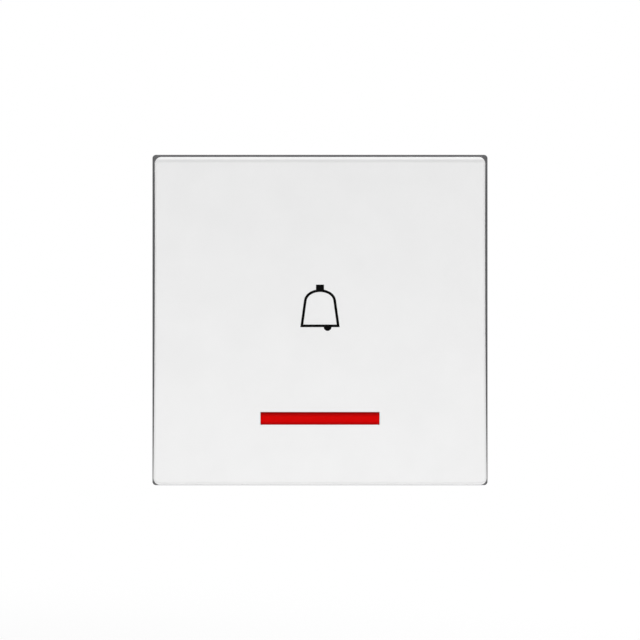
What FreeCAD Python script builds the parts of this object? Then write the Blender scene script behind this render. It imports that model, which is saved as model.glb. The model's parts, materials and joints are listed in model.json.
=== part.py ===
import FreeCAD, Part

# Doorbell push button, surface mounted, with a rocking square face, a lit window and a bell sign.
# The back lies on the wall: Y is 0 there and grows into the wall, X is to the right, Z is up.
# A level is a distance out from the wall, and a reach is a distance out from the hinge axis.

import math
import os
import re

import Sketcher

Vector = FreeCAD.Vector

SIZES = [
    # the back plate that shows as a thin dark line round the rocker
    ("flange_width", 57.2, "back plate, side to side"),
    ("flange_height", 56.4, "back plate, top to bottom"),
    ("flange_thick", 2.2, "back plate, wall to its front"),
    ("flange_corner", 0.6, "back plate, corner radius"),
    ("flange_bevel", 0.3, "back plate, bevel of its front edge"),
    ("tub_width", 50.4, "tub that stands on the plate, outside width"),
    ("tub_height", 49.4, "tub, outside height"),
    ("tub_level", 9.5, "tub, level of its rim"),
    ("tub_wall", 1.4, "tub, wall thickness"),
    ("tub_corner", 1.5, "tub, outside corner radius"),
    ("tub_floor", 2.0, "tub, level of its floor"),
    ("cell_depth", 0.8, "hollows in the back, depth"),
    ("cell_near", 6.8, "hollows in the back, near edge from the middle"),
    ("cell_far", 21.6, "hollows in the back, far edge from the middle"),
    # wall screws and cable
    ("slot_spacing", 36.0, "wall screw slots, centre to centre"),
    ("slot_width", 5.2, "wall screw slots, width"),
    ("slot_length", 8.4, "wall screw slots, end to end"),
    ("collar_wall", 1.2, "raised collar round a slot, wall"),
    ("collar_level", 3.0, "raised collar round a slot, level"),
    ("entry_height", 16.95, "cable entry, height above the middle"),
    ("entry_bore", 8.5, "cable entry, bore"),
    ("entry_recess", 11.4, "cable entry, recess in the back"),
    ("entry_depth", 1.0, "cable entry, depth of the recess"),
    ("rubber_fit", 0.05, "gap round the rubber grommet"),
    ("membrane_thick", 0.6, "skin that the cable is pushed through"),
    ("drain_width", 6.0, "drain notch in the bottom wall, width"),
    ("drain_depth", 2.5, "drain notch, from the rim down"),
    # the hinge
    ("pivot_level", 6.5, "hinge axis, level"),
    ("pivot_height", -0.6, "hinge axis, a little under the middle"),
    ("trunnion_size", 3.0, "trunnion, diameter"),
    ("trunnion_length", 2.8, "trunnion, from the skirt inwards"),
    ("trunnion_fit", 0.05, "running gap round a trunnion"),
    ("bearing_size", 6.4, "bearing boss, diameter"),
    ("bearing_reach", 1.0, "bearing boss, inwards from the wall"),
    ("slit_width", 1.0, "slit beside each bearing, width"),
    ("slit_side", 5.0, "slit beside each bearing, from the axis"),
    ("slit_level", 3.6, "slit beside each bearing, level of its end"),
    ("rest_tilt", 3.5, "tilt at rest, bottom edge out, degrees"),
    ("press_angle", 6.5, "whole turn when pressed, degrees"),
    # the rocker
    ("rocker_width", 54.6, "rocker, side to side"),
    ("rocker_height", 54.0, "rocker, top to bottom"),
    ("face_reach", 8.5, "middle of the face, out from the axis"),
    ("face_radius", 250.0, "hollow of the face, radius"),
    ("face_thick", 1.8, "face, thickness"),
    ("skirt_drop", 2.2, "skirt, behind the axis"),
    ("skirt_wall", 1.5, "skirt, thickness"),
    ("rocker_corner", 1.1, "rocker, corner radius"),
    ("rocker_round", 0.5, "rocker, rounding of the face's edge"),
    ("rib_side", 12.8, "long ribs, from the middle"),
    ("rib_thick", 1.0, "ribs, thickness"),
    ("rib_reach", 4.4, "ribs, level of their edge out from the axis"),
    ("rib_half", 21.5, "long ribs, half length"),
    ("cross_rib_height", 8.5, "cross ribs, above and below the axis"),
    # stops
    ("stop_side", 20.0, "stops, from the middle to each side"),
    ("stop_height", 19.0, "stops, above and below the axis"),
    ("stop_leg", 2.4, "stop legs of the rocker, side"),
    ("stop_reach", 3.0, "stop legs, out from the axis"),
    ("stop_post", 2.8, "stop posts of the tub, side"),
    ("stop_gap", 0.06, "gap left at each stop"),
    # return springs and the push on the plunger
    ("press_drop", 10.0, "plunger and return springs, below the axis"),
    ("spring_side", 16.0, "return springs, from the middle"),
    ("spring_seat", 3.0, "rocker's spring seats, out from the axis"),
    ("seat_side", 4.0, "rocker's spring seats, side"),
    ("leaf_width", 3.6, "return spring, width of its strip"),
    ("leaf_thick", 0.4, "return spring, thickness"),
    ("leaf_bend", 1.2, "return spring, inside radius of its bends"),
    ("leaf_span", 9.0, "return spring, from its low bend up to its crest"),
    ("leaf_lip", 1.2, "return spring, straight end past its crest"),
    ("lip_lean", 30.0, "return spring, lean of that end, degrees"),
    ("foot_reach", 4.2, "return spring, foot above its crest"),
    ("spring_fit", 0.05, "gap between a return spring and its seat"),
    ("peg_size", 1.8, "pegs that hold the springs' feet, diameter"),
    ("peg_height", 2.4, "pegs, above the crest of the springs"),
    ("peg_rise", 0.6, "pegs, height above a foot"),
    ("peg_fit", 0.1, "gap round a peg"),
    ("nib_reach", 4.0, "nib over the plunger, out from the axis"),
    ("nib_size", 5.0, "nib over the plunger, diameter"),
    ("nib_gap", 0.05, "gap between nib and plunger"),
    # the window and the sign
    ("window_width", 19.5, "window, side to side"),
    ("window_height", 2.02, "window, top to bottom"),
    ("window_corner", 0.25, "window, corner radius"),
    ("window_drop", 16.13, "window, below the middle of the face"),
    ("window_sink", 0.3, "window, sunk behind the face"),
    ("window_fit", 0.04, "gap round the window"),
    ("seat_reach", 6.6, "window's seat, out from the axis"),
    ("seat_width", 24.4, "window's seat, width"),
    ("seat_height", 4.6, "window's seat, height"),
    ("lug_thick", 0.8, "window's flange, thickness"),
    ("lug_width", 23.6, "window's flange, width"),
    ("lug_height", 3.6, "window's flange, height"),
    ("stake_side", 10.8, "stakes that hold the window, from the middle"),
    ("stake_size", 1.5, "stakes, diameter"),
    ("stake_rise", 1.4, "stakes, behind the seat"),
    ("guide_width", 16.0, "light guide, width"),
    ("guide_thick", 1.4, "light guide, thickness"),
    ("guide_reach", 2.6, "light guide, end out from the axis"),
    ("bell_foot", 3.215, "bell sign, half width at its foot"),
    ("bell_lean", 7.8, "bell sign, lean of its sides, degrees"),
    ("bell_rise", 6.2, "bell sign, foot to crown"),
    ("bell_crown", 3.29, "bell sign, radius of the crown"),
    ("bell_shoulder", 1.89, "bell sign, radius of the shoulders"),
    ("bell_stroke", 0.38, "bell sign, width of its line"),
    ("bell_knob", 1.27, "bell sign, width of the knob on top"),
    ("knob_rise", 0.76, "bell sign, knob above the crown"),
    ("clapper_side", 1.25, "bell sign, clapper from its middle"),
    ("clapper_radius", 0.62, "bell sign, clapper radius"),
    ("bell_drop", 1.07, "bell sign, foot below the face's middle"),
    ("bell_depth", 0.25, "bell sign, depth of the inlay"),
    # the contact block
    ("block_width", 24.0, "contact block, side to side"),
    ("block_top", 11.2, "contact block, top edge"),
    ("block_bottom", -15.2, "contact block, bottom edge"),
    ("block_wall", 1.2, "contact block, wall"),
    ("block_floor", 3.0, "contact block, level of its inside floor"),
    ("block_level", 8.2, "contact block, level of its rim"),
    ("cover_thick", 1.0, "contact block cover, thickness"),
    ("fixing_side", 9.7, "block screws, from the middle"),
    ("fixing_height", -4.6, "block screws, height"),
    ("column_size", 4.2, "column round a block screw, diameter"),
    ("shank_size", 2.2, "block screw, shank"),
    ("shank_end", 0.6, "block screw, level of its point"),
    ("shank_fit", 0.05, "gap round a screw"),
    ("head_size", 4.0, "block screw, head"),
    ("driver_slot", 0.8, "screwdriver slot, width"),
    ("head_rise", 1.3, "block screw, head height"),
    ("wire_notch", 3.0, "wire entries of the block, width"),
    # contact strips, terminals and the bridge
    ("strip_level", 3.6, "contact strips, level of their back"),
    ("strip_thick", 0.8, "contact strips, thickness"),
    ("leg_near", 4.6, "strip's long leg, near edge from the middle"),
    ("leg_width", 2.8, "strip's long leg, width"),
    ("tail_width", 1.8, "strip's soldered tail, width"),
    ("tail_reach", 2.0, "strip's soldered tail, past the block"),
    ("terminal_side", 6.2, "terminals, from the middle"),
    ("terminal_height", 5.0, "terminals, height"),
    ("terminal_pad", 6.0, "terminals, side of the square pad"),
    ("clamp_side", 5.0, "wire clamp, side"),
    ("clamp_thick", 0.8, "wire clamp, thickness"),
    ("wire_space", 1.0, "room for a wire under a clamp"),
    ("clamp_lip", 0.5, "wire clamp, lips turned down"),
    ("terminal_shank", 3.0, "terminal screw, shank"),
    ("terminal_head", 4.8, "terminal screw, head"),
    ("terminal_head_rise", 1.7, "terminal screw, head height"),
    ("terminal_end", 2.3, "terminal screw, level of its end"),
    ("access_size", 5.4, "screwdriver holes in the cover"),
    ("contact_side", 3.6, "contacts, from the middle"),
    ("contact_size", 2.4, "contacts, diameter"),
    ("contact_thick", 0.4, "contacts, thickness"),
    ("contact_margin", 0.04, "gap left between contacts when pressed"),
    ("bridge_width", 3.0, "contact bridge, width"),
    ("bridge_thick", 0.5, "contact bridge, thickness"),
    ("bridge_over", 1.5, "contact bridge, past each contact's middle"),
    ("arm_over", 0.5, "contact arm of a strip, past the contact's edge"),
    # the plunger and its spring
    ("stem_size", 4.0, "plunger, stem"),
    ("shoulder_size", 6.0, "plunger, shoulder under the cover"),
    ("shoulder_gap", 0.1, "plunger, shoulder under the cover at rest"),
    ("tip_size", 1.0, "plunger, flat of its tip, diameter"),
    ("tip_rise", 0.6, "plunger, height of its tapered tip"),
    ("pin_size", 2.0, "plunger, pin through the bridge"),
    ("pin_length", 1.6, "plunger, pin behind the bridge"),
    ("guide_fit", 0.1, "gap round the plunger in the cover"),
    ("plunger_coil", 3.4, "plunger spring, middle of the wire"),
    ("plunger_wire", 0.35, "plunger spring, wire"),
    ("plunger_turns", 3, "plunger spring, turns"),
    # the lamp board
    ("board_width", 26.0, "lamp board, width"),
    ("board_height", 7.2, "lamp board, height"),
    ("board_drop", 19.4, "lamp board, below the middle"),
    ("board_thick", 1.0, "lamp board, thickness"),
    ("board_pin_side", 11.4, "lamp board pins, from the middle"),
    ("board_pin", 1.5, "lamp board pins, diameter"),
    ("board_pin_rise", 0.6, "lamp board pins, above the board"),
    ("board_fit", 0.05, "gap round a lamp board pin"),
    ("lamp_side", 2.6, "lamps, from the middle"),
    ("lamp_drop", 17.4, "lamps, below the middle"),
    ("lamp_width", 2.8, "lamp, width"),
    ("lamp_height", 3.0, "lamp, height"),
    ("lamp_rise", 1.4, "lamp, body above the board"),
    ("lamp_eye", 1.1, "lamp, radius of its round window"),
    ("eye_rise", 0.2, "lamp, window above its body"),
    ("chip_side", 2.4, "resistor, from the middle"),
    ("chip_drop", 20.9, "resistor, below the middle"),
    ("chip_length", 3.2, "resistor, length"),
    ("chip_width", 1.6, "resistor, width"),
    ("chip_rise", 0.6, "resistor, height"),
    ("chip_cap", 0.5, "resistor, length of its end caps"),
    ("cap_over", 0.05, "resistor, end caps proud of its middle"),
    ("diode_side", 7.6, "rectifier diode, from the middle"),
    ("diode_drop", 20.7, "rectifier diode, below the middle"),
    ("diode_length", 4.0, "rectifier diode, length"),
    ("diode_width", 2.4, "rectifier diode, width"),
    ("diode_rise", 1.9, "rectifier diode, height"),
    ("diode_draft", 0.3, "rectifier diode, taper of its top"),
    ("diode_leg", 0.5, "rectifier diode, reach and thickness of its legs"),
    ("leg_breadth", 1.4, "rectifier diode, width of its legs"),
]

doc = FreeCAD.newDocument("doorbell_push_button")
sheet = doc.addObject("Spreadsheet::Sheet", "Sizes")
for row, (alias, number, meaning) in enumerate(SIZES, start=1):
    sheet.set(f"A{row}", meaning)
    sheet.set(f"B{row}", str(number))
    sheet.setAlias(f"B{row}", alias)
doc.recompute()


def tied(text):
    """Point each alias in an expression at its cell of the sheet."""
    return re.sub(r"[a-z]+(?:_[a-z]+)+", r"Sizes.\g<0>", text)


def value(text):
    """Work out an expression now, as a plain number."""
    return float(sheet.evalExpression(tied(text)))


# Levels and places that more than one piece takes
STRIP_TOP = "(strip_level + strip_thick)"
FIXED_TOP = f"({STRIP_TOP} + contact_thick)"
PRESS_TILT = "(press_angle - rest_tilt)"
PLUNGER_TRAVEL = (
    f"(nib_reach / cos(rest_tilt) - nib_reach / cos{PRESS_TILT}"
    f" + press_drop * (tan(rest_tilt) + tan{PRESS_TILT}))"
)
TIP_LEVEL = f"({FIXED_TOP} + {PLUNGER_TRAVEL} + contact_margin)"
BRIDGE_LEVEL = f"({TIP_LEVEL} + contact_thick)"
BRIDGE_TOP = f"({BRIDGE_LEVEL} + bridge_thick)"
HEAD_LEVEL = (
    "(pivot_level + nib_reach / cos(rest_tilt) + press_drop * tan(rest_tilt) - nib_gap)"
)
PLUNGER_HEIGHT = "(pivot_height - press_drop)"
COVER_TOP = "(block_level + cover_thick)"
CLAMP_LEVEL = f"({STRIP_TOP} + wire_space)"
CLAMP_TOP = f"({CLAMP_LEVEL} + clamp_thick)"
BOARD_LEVEL = "(strip_level - board_thick)"
TUB_INNER_WIDTH = "(tub_width - 2 * tub_wall)"
TUB_INNER_HEIGHT = "(tub_height - 2 * tub_wall)"
SKIRT_INNER_WIDTH = "(rocker_width - 2 * skirt_wall)"
SKIRT_INNER_HEIGHT = "(rocker_height - 2 * skirt_wall)"
BLOCK_HEIGHT = "(block_top - block_bottom)"
BLOCK_MIDDLE = "((block_top + block_bottom) / 2)"

SIDES = ((-1, "left"), (1, "right"))
ORIGIN = -1
FULL_TURN = 360


# Sketch helpers: each shape is drawn at its true size and tied to the sheet

def fix(sketch, kind, *where):
    """Add one measured constraint, the last argument being its expression."""
    text = where[-1]
    index = sketch.addConstraint(Sketcher.Constraint(kind, *where[:-1], value(text)))
    sketch.setExpression(f"Constraints[{index}]", tied(text))


def fix_point(sketch, geometry, end, across, up):
    """Hold a point at its distances from the sketch's origin."""
    fix(sketch, "DistanceX", ORIGIN, 1, geometry, end, across)
    fix(sketch, "DistanceY", ORIGIN, 1, geometry, end, up)


def rectangle(width, height, across="0", up="0"):
    """A rectangle about its middle."""
    def draw(sketch):
        half_width = value(width) / 2
        half_height = value(height) / 2
        middle = Vector(value(across), value(up), 0)
        corners = [
            middle + Vector(side * half_width, end * half_height, 0)
            for side, end in ((-1, -1), (1, -1), (1, 1), (-1, 1))
        ]
        lines = [
            sketch.addGeometry(Part.LineSegment(corners[i], corners[(i + 1) % 4]))
            for i in range(4)
        ]
        for i, line in enumerate(lines):
            following = lines[(i + 1) % 4]
            sketch.addConstraint(Sketcher.Constraint("Coincident", line, 2, following, 1))
            direction = "Vertical" if i % 2 else "Horizontal"
            sketch.addConstraint(Sketcher.Constraint(direction, line))
        point = sketch.addGeometry(Part.Point(middle), True)
        sketch.addConstraint(
            Sketcher.Constraint("Symmetric", lines[0], 1, lines[2], 1, point, 1)
        )
        fix_point(sketch, point, 1, across, up)
        fix(sketch, "DistanceX", lines[0], 1, lines[0], 2, width)
        fix(sketch, "DistanceY", lines[1], 1, lines[1], 2, height)
    return draw


def circle(size, across="0", up="0"):
    """A circle of a given diameter."""
    def draw(sketch):
        centre = Vector(value(across), value(up), 0)
        ring = sketch.addGeometry(Part.Circle(centre, Vector(0, 0, 1), value(size) / 2))
        fix_point(sketch, ring, 3, across, up)
        fix(sketch, "Diameter", ring, size)
    return draw


def long_hole(length, width, across="0", up="0"):
    """A slot with round ends, its length lying across the sketch."""
    def draw(sketch):
        radius = value(width) / 2
        reach = value(length) / 2 - radius
        middle = Vector(value(across), value(up), 0)
        left = middle - Vector(reach, 0, 0)
        right = middle + Vector(reach, 0, 0)
        rise = Vector(0, radius, 0)
        normal = Vector(0, 0, 1)
        quarter = math.pi / 2
        left_end = sketch.addGeometry(
            Part.ArcOfCircle(Part.Circle(left, normal, radius), quarter, 3 * quarter)
        )
        right_end = sketch.addGeometry(
            Part.ArcOfCircle(Part.Circle(right, normal, radius), -quarter, quarter)
        )
        low = sketch.addGeometry(Part.LineSegment(left - rise, right - rise))
        high = sketch.addGeometry(Part.LineSegment(right + rise, left + rise))
        for first, end, second, start in (
            (left_end, 2, low, 1), (low, 2, right_end, 1),
            (right_end, 2, high, 1), (high, 2, left_end, 1),
        ):
            sketch.addConstraint(Sketcher.Constraint("Tangent", first, end, second, start))
        sketch.addConstraint(Sketcher.Constraint("Equal", left_end, right_end))
        fix(sketch, "Radius", left_end, f"({width}) / 2")
        fix_point(sketch, left_end, 3, f"{across} - ({length} - ({width})) / 2", up)
        fix_point(sketch, right_end, 3, f"{across} + ({length} - ({width})) / 2", up)
    return draw


def outline(*corners, arcs=()):
    """Lines from corner to corner, some of them arcs under half a turn: {side: (radius, centre)}."""
    arcs = dict(arcs)

    def draw(sketch):
        points = [Vector(value(across), value(up), 0) for across, up in corners]
        sides = []
        for i, start in enumerate(points):
            end = points[(i + 1) % len(points)]
            if i in arcs:
                radius, centre = arcs[i]
                hub = Vector(value(centre[0]), value(centre[1]), 0)
                angles = [math.atan2(p.y - hub.y, p.x - hub.x) for p in (start, end)]
                if (angles[1] - angles[0]) % (2 * math.pi) > math.pi:
                    angles.reverse()
                ring = Part.Circle(hub, Vector(0, 0, 1), value(radius))
                edge = Part.ArcOfCircle(ring, *angles)
            else:
                edge = Part.LineSegment(start, end)
            sides.append(sketch.addGeometry(edge))
        for i, side in enumerate(sides):
            following = sides[(i + 1) % len(sides)]
            drawn = sketch.Geometry[side]
            tail = 2 if drawn.EndPoint.isEqual(points[(i + 1) % len(points)], 1e-6) else 1
            head_point = sketch.Geometry[following].StartPoint
            head = 1 if head_point.isEqual(points[(i + 1) % len(points)], 1e-6) else 2
            sketch.addConstraint(Sketcher.Constraint("Coincident", side, tail, following, head))
            fix_point(sketch, following, head, *corners[(i + 1) % len(corners)])
            if i in arcs:
                fix(sketch, "Radius", side, arcs[i][0])
    return draw


# Body helpers

def new_body(label, level="0", across="0", up="0"):
    """A sub-part whose own origin lies at a level, side and height of the whole."""
    body = doc.addObject("PartDesign::Body", label)
    body.setExpression("Placement.Base.x", tied(across))
    body.setExpression("Placement.Base.y", tied(f"-({level})"))
    body.setExpression("Placement.Base.z", tied(up))
    return body


def new_rocking_body(label):
    """A sub-part of the rocker: its origin is on the hinge axis and it is tilted at rest."""
    body = doc.addObject("PartDesign::Body", label)
    body.setExpression("Placement", tied(
        "placement(vector(0; -pivot_level; pivot_height);"
        " rotation(vector(1; 0; 0); -rest_tilt))"
    ))
    return body


def sketch_on(body, name, role, offset, shapes):
    """A sketch on one of the body's own planes, moved out along the plane's normal."""
    sketch = body.newObject("Sketcher::SketchObject", name + "_sketch")
    plane = next(p for p in body.Origin.OriginFeatures if p.Role == role)
    sketch.AttachmentSupport = [(plane, "")]
    sketch.MapMode = "FlatFace"
    sketch.setExpression("AttachmentOffset.Base.z", tied(offset))
    for shape in shapes:
        shape(sketch)
    return sketch


def pad(body, name, low, high, *shapes):
    """Material between two levels."""
    feature = body.newObject("PartDesign::Pad", name)
    feature.Profile = sketch_on(body, name, "XZ_Plane", low, shapes)
    feature.setExpression("Length", tied(f"({high}) - ({low})"))
    return settle(body, feature)


def pocket(body, name, high, low, *shapes):
    """A hollow from a higher level down to a lower one."""
    before = body.Shape.Volume
    feature = body.newObject("PartDesign::Pocket", name)
    feature.Profile = sketch_on(body, name, "XZ_Plane", high, shapes)
    feature.setExpression("Length", tied(f"({high}) - ({low})"))
    settle(body, feature)
    check_cut(name, before, body.Shape.Volume)
    return feature


def settle(body, feature):
    """Make a feature the body's last one and work it out."""
    body.Tip = feature
    doc.recompute()
    return feature


def check_cut(name, before, after):
    """Stop where a hollow pointed away from the solid and took nothing out."""
    if not after < before:
        raise RuntimeError(f"{name} cuts nothing")


def pad_sideways(body, name, length, *shapes):
    """Material on both sides of the middle, drawn as seen from the side."""
    feature = body.newObject("PartDesign::Pad", name)
    feature.Profile = sketch_on(body, name, "YZ_Plane", "0", shapes)
    feature.SideType = "Symmetric"
    feature.setExpression("Length", tied(length))
    return settle(body, feature)


def pocket_sideways(body, name, length, *shapes):
    """A hollow on both sides of the middle, drawn as seen from the side."""
    before = body.Shape.Volume
    feature = body.newObject("PartDesign::Pocket", name)
    feature.Profile = sketch_on(body, name, "YZ_Plane", "0", shapes)
    feature.SideType = "Symmetric"
    feature.setExpression("Length", tied(length))
    settle(body, feature)
    check_cut(name, before, body.Shape.Volume)
    return feature


def turn(body, name, *shapes):
    """A turned form about the line that runs straight out from the wall."""
    feature = body.newObject("PartDesign::Revolution", name)
    sketch = sketch_on(body, name, "YZ_Plane", "0", shapes)
    feature.Profile = sketch
    feature.ReferenceAxis = (sketch, ["H_Axis"])
    feature.Angle = FULL_TURN
    return settle(body, feature)


def mirror(body, name, features):
    """The same features again on the other side of the middle."""
    feature = body.newObject("PartDesign::Mirrored", name)
    feature.Originals = features
    plane = next(p for p in body.Origin.OriginFeatures if p.Role == "YZ_Plane")
    feature.MirrorPlane = (plane, [""])
    return settle(body, feature)


def edges_where(feature, test):
    """Names of the edges that pass a test."""
    return [f"Edge{i}" for i, edge in enumerate(feature.Shape.Edges, start=1) if test(edge)]


def round_edges(body, name, base, test, radius):
    """Round the chosen edges of the last feature."""
    feature = body.newObject("PartDesign::Fillet", name)
    feature.Base = (base, edges_where(base, test))
    feature.setExpression("Radius", tied(radius))
    return settle(body, feature)


def bevel_edges(body, name, base, test, size):
    """Bevel the chosen edges of the last feature."""
    feature = body.newObject("PartDesign::Chamfer", name)
    feature.Base = (base, edges_where(base, test))
    feature.setExpression("Size", tied(size))
    return settle(body, feature)


def runs_outward(edge):
    """An edge that runs straight out from the wall."""
    ends = [vertex.Point for vertex in edge.Vertexes]
    return len(ends) == 2 and abs(ends[1].y - ends[0].y) > 0.999 * edge.Length


def at_level(edge, level):
    """An edge that lies flat at one level of its body."""
    box = edge.BoundBox
    return abs(box.YMin + level) < 1e-4 and abs(box.YMax + level) < 1e-4


# Base: the back plate, the tub on it, and all that is moulded in

def make_base():
    body = new_body("base")
    plate = pad(body, "plate", "0", "flange_thick", rectangle("flange_width", "flange_height"))
    corners = round_edges(body, "plate_corners", plate, runs_outward, "flange_corner")
    front = value("flange_thick")
    bevel_edges(body, "plate_bevel", corners, lambda edge: at_level(edge, front), "flange_bevel")
    tub = pad(
        body, "tub", "tub_floor", "tub_level",
        rectangle("tub_width", "tub_height", "0", "pivot_height"),
    )
    half = value("tub_width") / 2
    round_edges(
        body, "tub_corners", tub,
        lambda edge: runs_outward(edge) and abs(abs(edge.BoundBox.Center.x) - half) < 1e-4,
        "tub_corner",
    )
    pocket(
        body, "tub_inside", "tub_level", "tub_floor",
        rectangle(TUB_INNER_WIDTH, TUB_INNER_HEIGHT, "0", "pivot_height"),
    )
    for side, hand in SIDES:
        middle = f"{side} * slot_spacing / 2"
        collar = long_hole("slot_length + 2 * collar_wall", "slot_width + 2 * collar_wall", middle)
        pad(body, f"slot_collar_{hand}", "tub_floor", "collar_level", collar)
        pad(
            body, f"spring_peg_{hand}", "tub_floor", "tub_floor + leaf_thick + peg_rise",
            circle("peg_size", f"{side} * spring_side", f"{PLUNGER_HEIGHT} + peg_height"),
        )
        pad(
            body, f"board_rest_{hand}", "tub_floor", BOARD_LEVEL,
            rectangle("2 * board_pin", "board_height", f"{side} * board_pin_side", "-board_drop"),
        )
        pad(
            body, f"board_pin_{hand}", "tub_floor",
            f"{BOARD_LEVEL} + board_thick + board_pin_rise",
            circle("board_pin", f"{side} * board_pin_side", "-board_drop"),
        )
        for end, when, lean in ((1, "rest", "rest_tilt"), (-1, "pressed", PRESS_TILT)):
            pad(
                body, f"{when}_stop_{hand}", "tub_floor", stop_level(lean),
                rectangle("stop_post", "stop_post", f"{side} * stop_side",
                          f"pivot_height + {end} * stop_height"),
            )
        bearing = body.newObject("PartDesign::Pad", f"bearing_boss_{hand}")
        bearing.Profile = sketch_on(
            body, f"bearing_boss_{hand}", "YZ_Plane",
            f"{side} * ({TUB_INNER_WIDTH} / 2 - bearing_reach)",
            [circle("bearing_size", "-pivot_level", "pivot_height")],
        )
        bearing.Reversed = side < 0
        bearing.setExpression("Length", tied("bearing_reach + tub_wall / 2"))
        settle(body, bearing)
    pocket_sideways(
        body, "bearing_bores", "tub_width",
        circle("trunnion_size + 2 * trunnion_fit", "-pivot_level", "pivot_height"),
    )
    slit_length = "(tub_level - slit_level)"
    slit_middle = "-(tub_level + slit_level) / 2"
    for end, name in ((1, "upper_slits"), (-1, "lower_slits")):
        height = f"pivot_height + {end} * slit_side"
        pocket_sideways(
            body, name, "tub_width", rectangle(slit_length, "slit_width", slit_middle, height)
        )
    for side, hand in SIDES:
        pocket(
            body, f"wall_slot_{hand}", "collar_level", "0",
            long_hole("slot_length", "slot_width", f"{side} * slot_spacing / 2"),
        )
        pocket(
            body, f"block_screw_hole_{hand}", "tub_floor", "0",
            circle("shank_size + 2 * shank_fit", f"{side} * fixing_side", "fixing_height"),
        )
    pocket(body, "cable_entry", "tub_floor", "0", circle("entry_bore", "0", "entry_height"))
    pocket(body, "entry_recess", "entry_depth", "0", circle("entry_recess", "0", "entry_height"))
    pocket(
        body, "drain_notch", "tub_level", "tub_level - drain_depth",
        rectangle("drain_width", "2 * tub_wall", "0",
                  "pivot_height + tub_wall / 2 - tub_height / 2"),
    )
    span = "(cell_far - cell_near)"
    middle = "(cell_far + cell_near) / 2"
    pocket(
        body, "back_hollows", "cell_depth", "0",
        *[rectangle(span, span, f"{side} * {middle}", f"{end} * {middle}")
          for side in (-1, 1) for end in (-1, 1)],
    )
    return body


def stop_level(lean):
    """Level of a stop post whose rocker leg comes down with a given tilt."""
    return (
        f"pivot_level + stop_reach * cos({lean})"
        f" - (stop_height + stop_leg / 2) * sin({lean}) - stop_gap"
    )


def make_grommet():
    body = new_body("cable_grommet", up="entry_height")
    bore = "(entry_bore / 2 - rubber_fit)"
    lip = "(entry_recess / 2 - rubber_fit)"
    neck_low = "(-entry_depth + rubber_fit)"
    neck_high = "(-tub_floor - rubber_fit)"
    front = "(-tub_floor - rubber_fit - entry_depth)"
    skin = "(-entry_depth - membrane_thick)"
    hollow = "(entry_bore / 2 - entry_depth)"
    turn(body, "grommet", outline(
        ("-entry_depth", "0"),
        ("-entry_depth", hollow),
        ("-rubber_fit", hollow),
        ("-rubber_fit", lip),
        (neck_low, lip),
        (neck_low, bore),
        (neck_high, bore),
        (neck_high, lip),
        (front, f"{lip} - entry_depth / 2"),
        (front, hollow),
        (skin, f"{hollow} - membrane_thick"),
        (skin, "0"),
    ))
    return body


# Rocker: a square cap whose face is hollowed by a large cylinder lying across it

def face_profile(depth, reach_back, height):
    """Side view of the cap: straight at the back, hollow at the front."""
    radius = f"(face_radius + {depth})"
    bow = f"(face_reach - {depth} + {radius} - sqrt({radius} ^ 2 - ({height}) ^ 2 / 4))"
    centre = (f"-(face_reach - {depth} + {radius})", "0")
    return outline(
        (reach_back, f"-({height}) / 2"),
        (f"-{bow}", f"-({height}) / 2"),
        (f"-{bow}", f"({height}) / 2"),
        (reach_back, f"({height}) / 2"),
        arcs={1: (radius, centre)},
    )


def hollow_front(body, name, depth):
    """Cut a piece back to the hollow of the face, sunk by a depth."""
    radius = f"(face_radius + {depth})"
    height = "rocker_height"
    reach = f"(face_reach - {depth} + {radius} - sqrt({radius} ^ 2 - {height} ^ 2 / 4))"
    centre = (f"-(face_reach - {depth} + {radius})", "0")
    beyond = "-2 * face_reach"
    return pocket_sideways(body, name, "rocker_width", outline(
        (f"-{reach}", f"-{height} / 2"),
        (f"-{reach}", f"{height} / 2"),
        (beyond, f"{height} / 2"),
        (beyond, f"-{height} / 2"),
        arcs={0: (radius, centre)},
    ))


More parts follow.
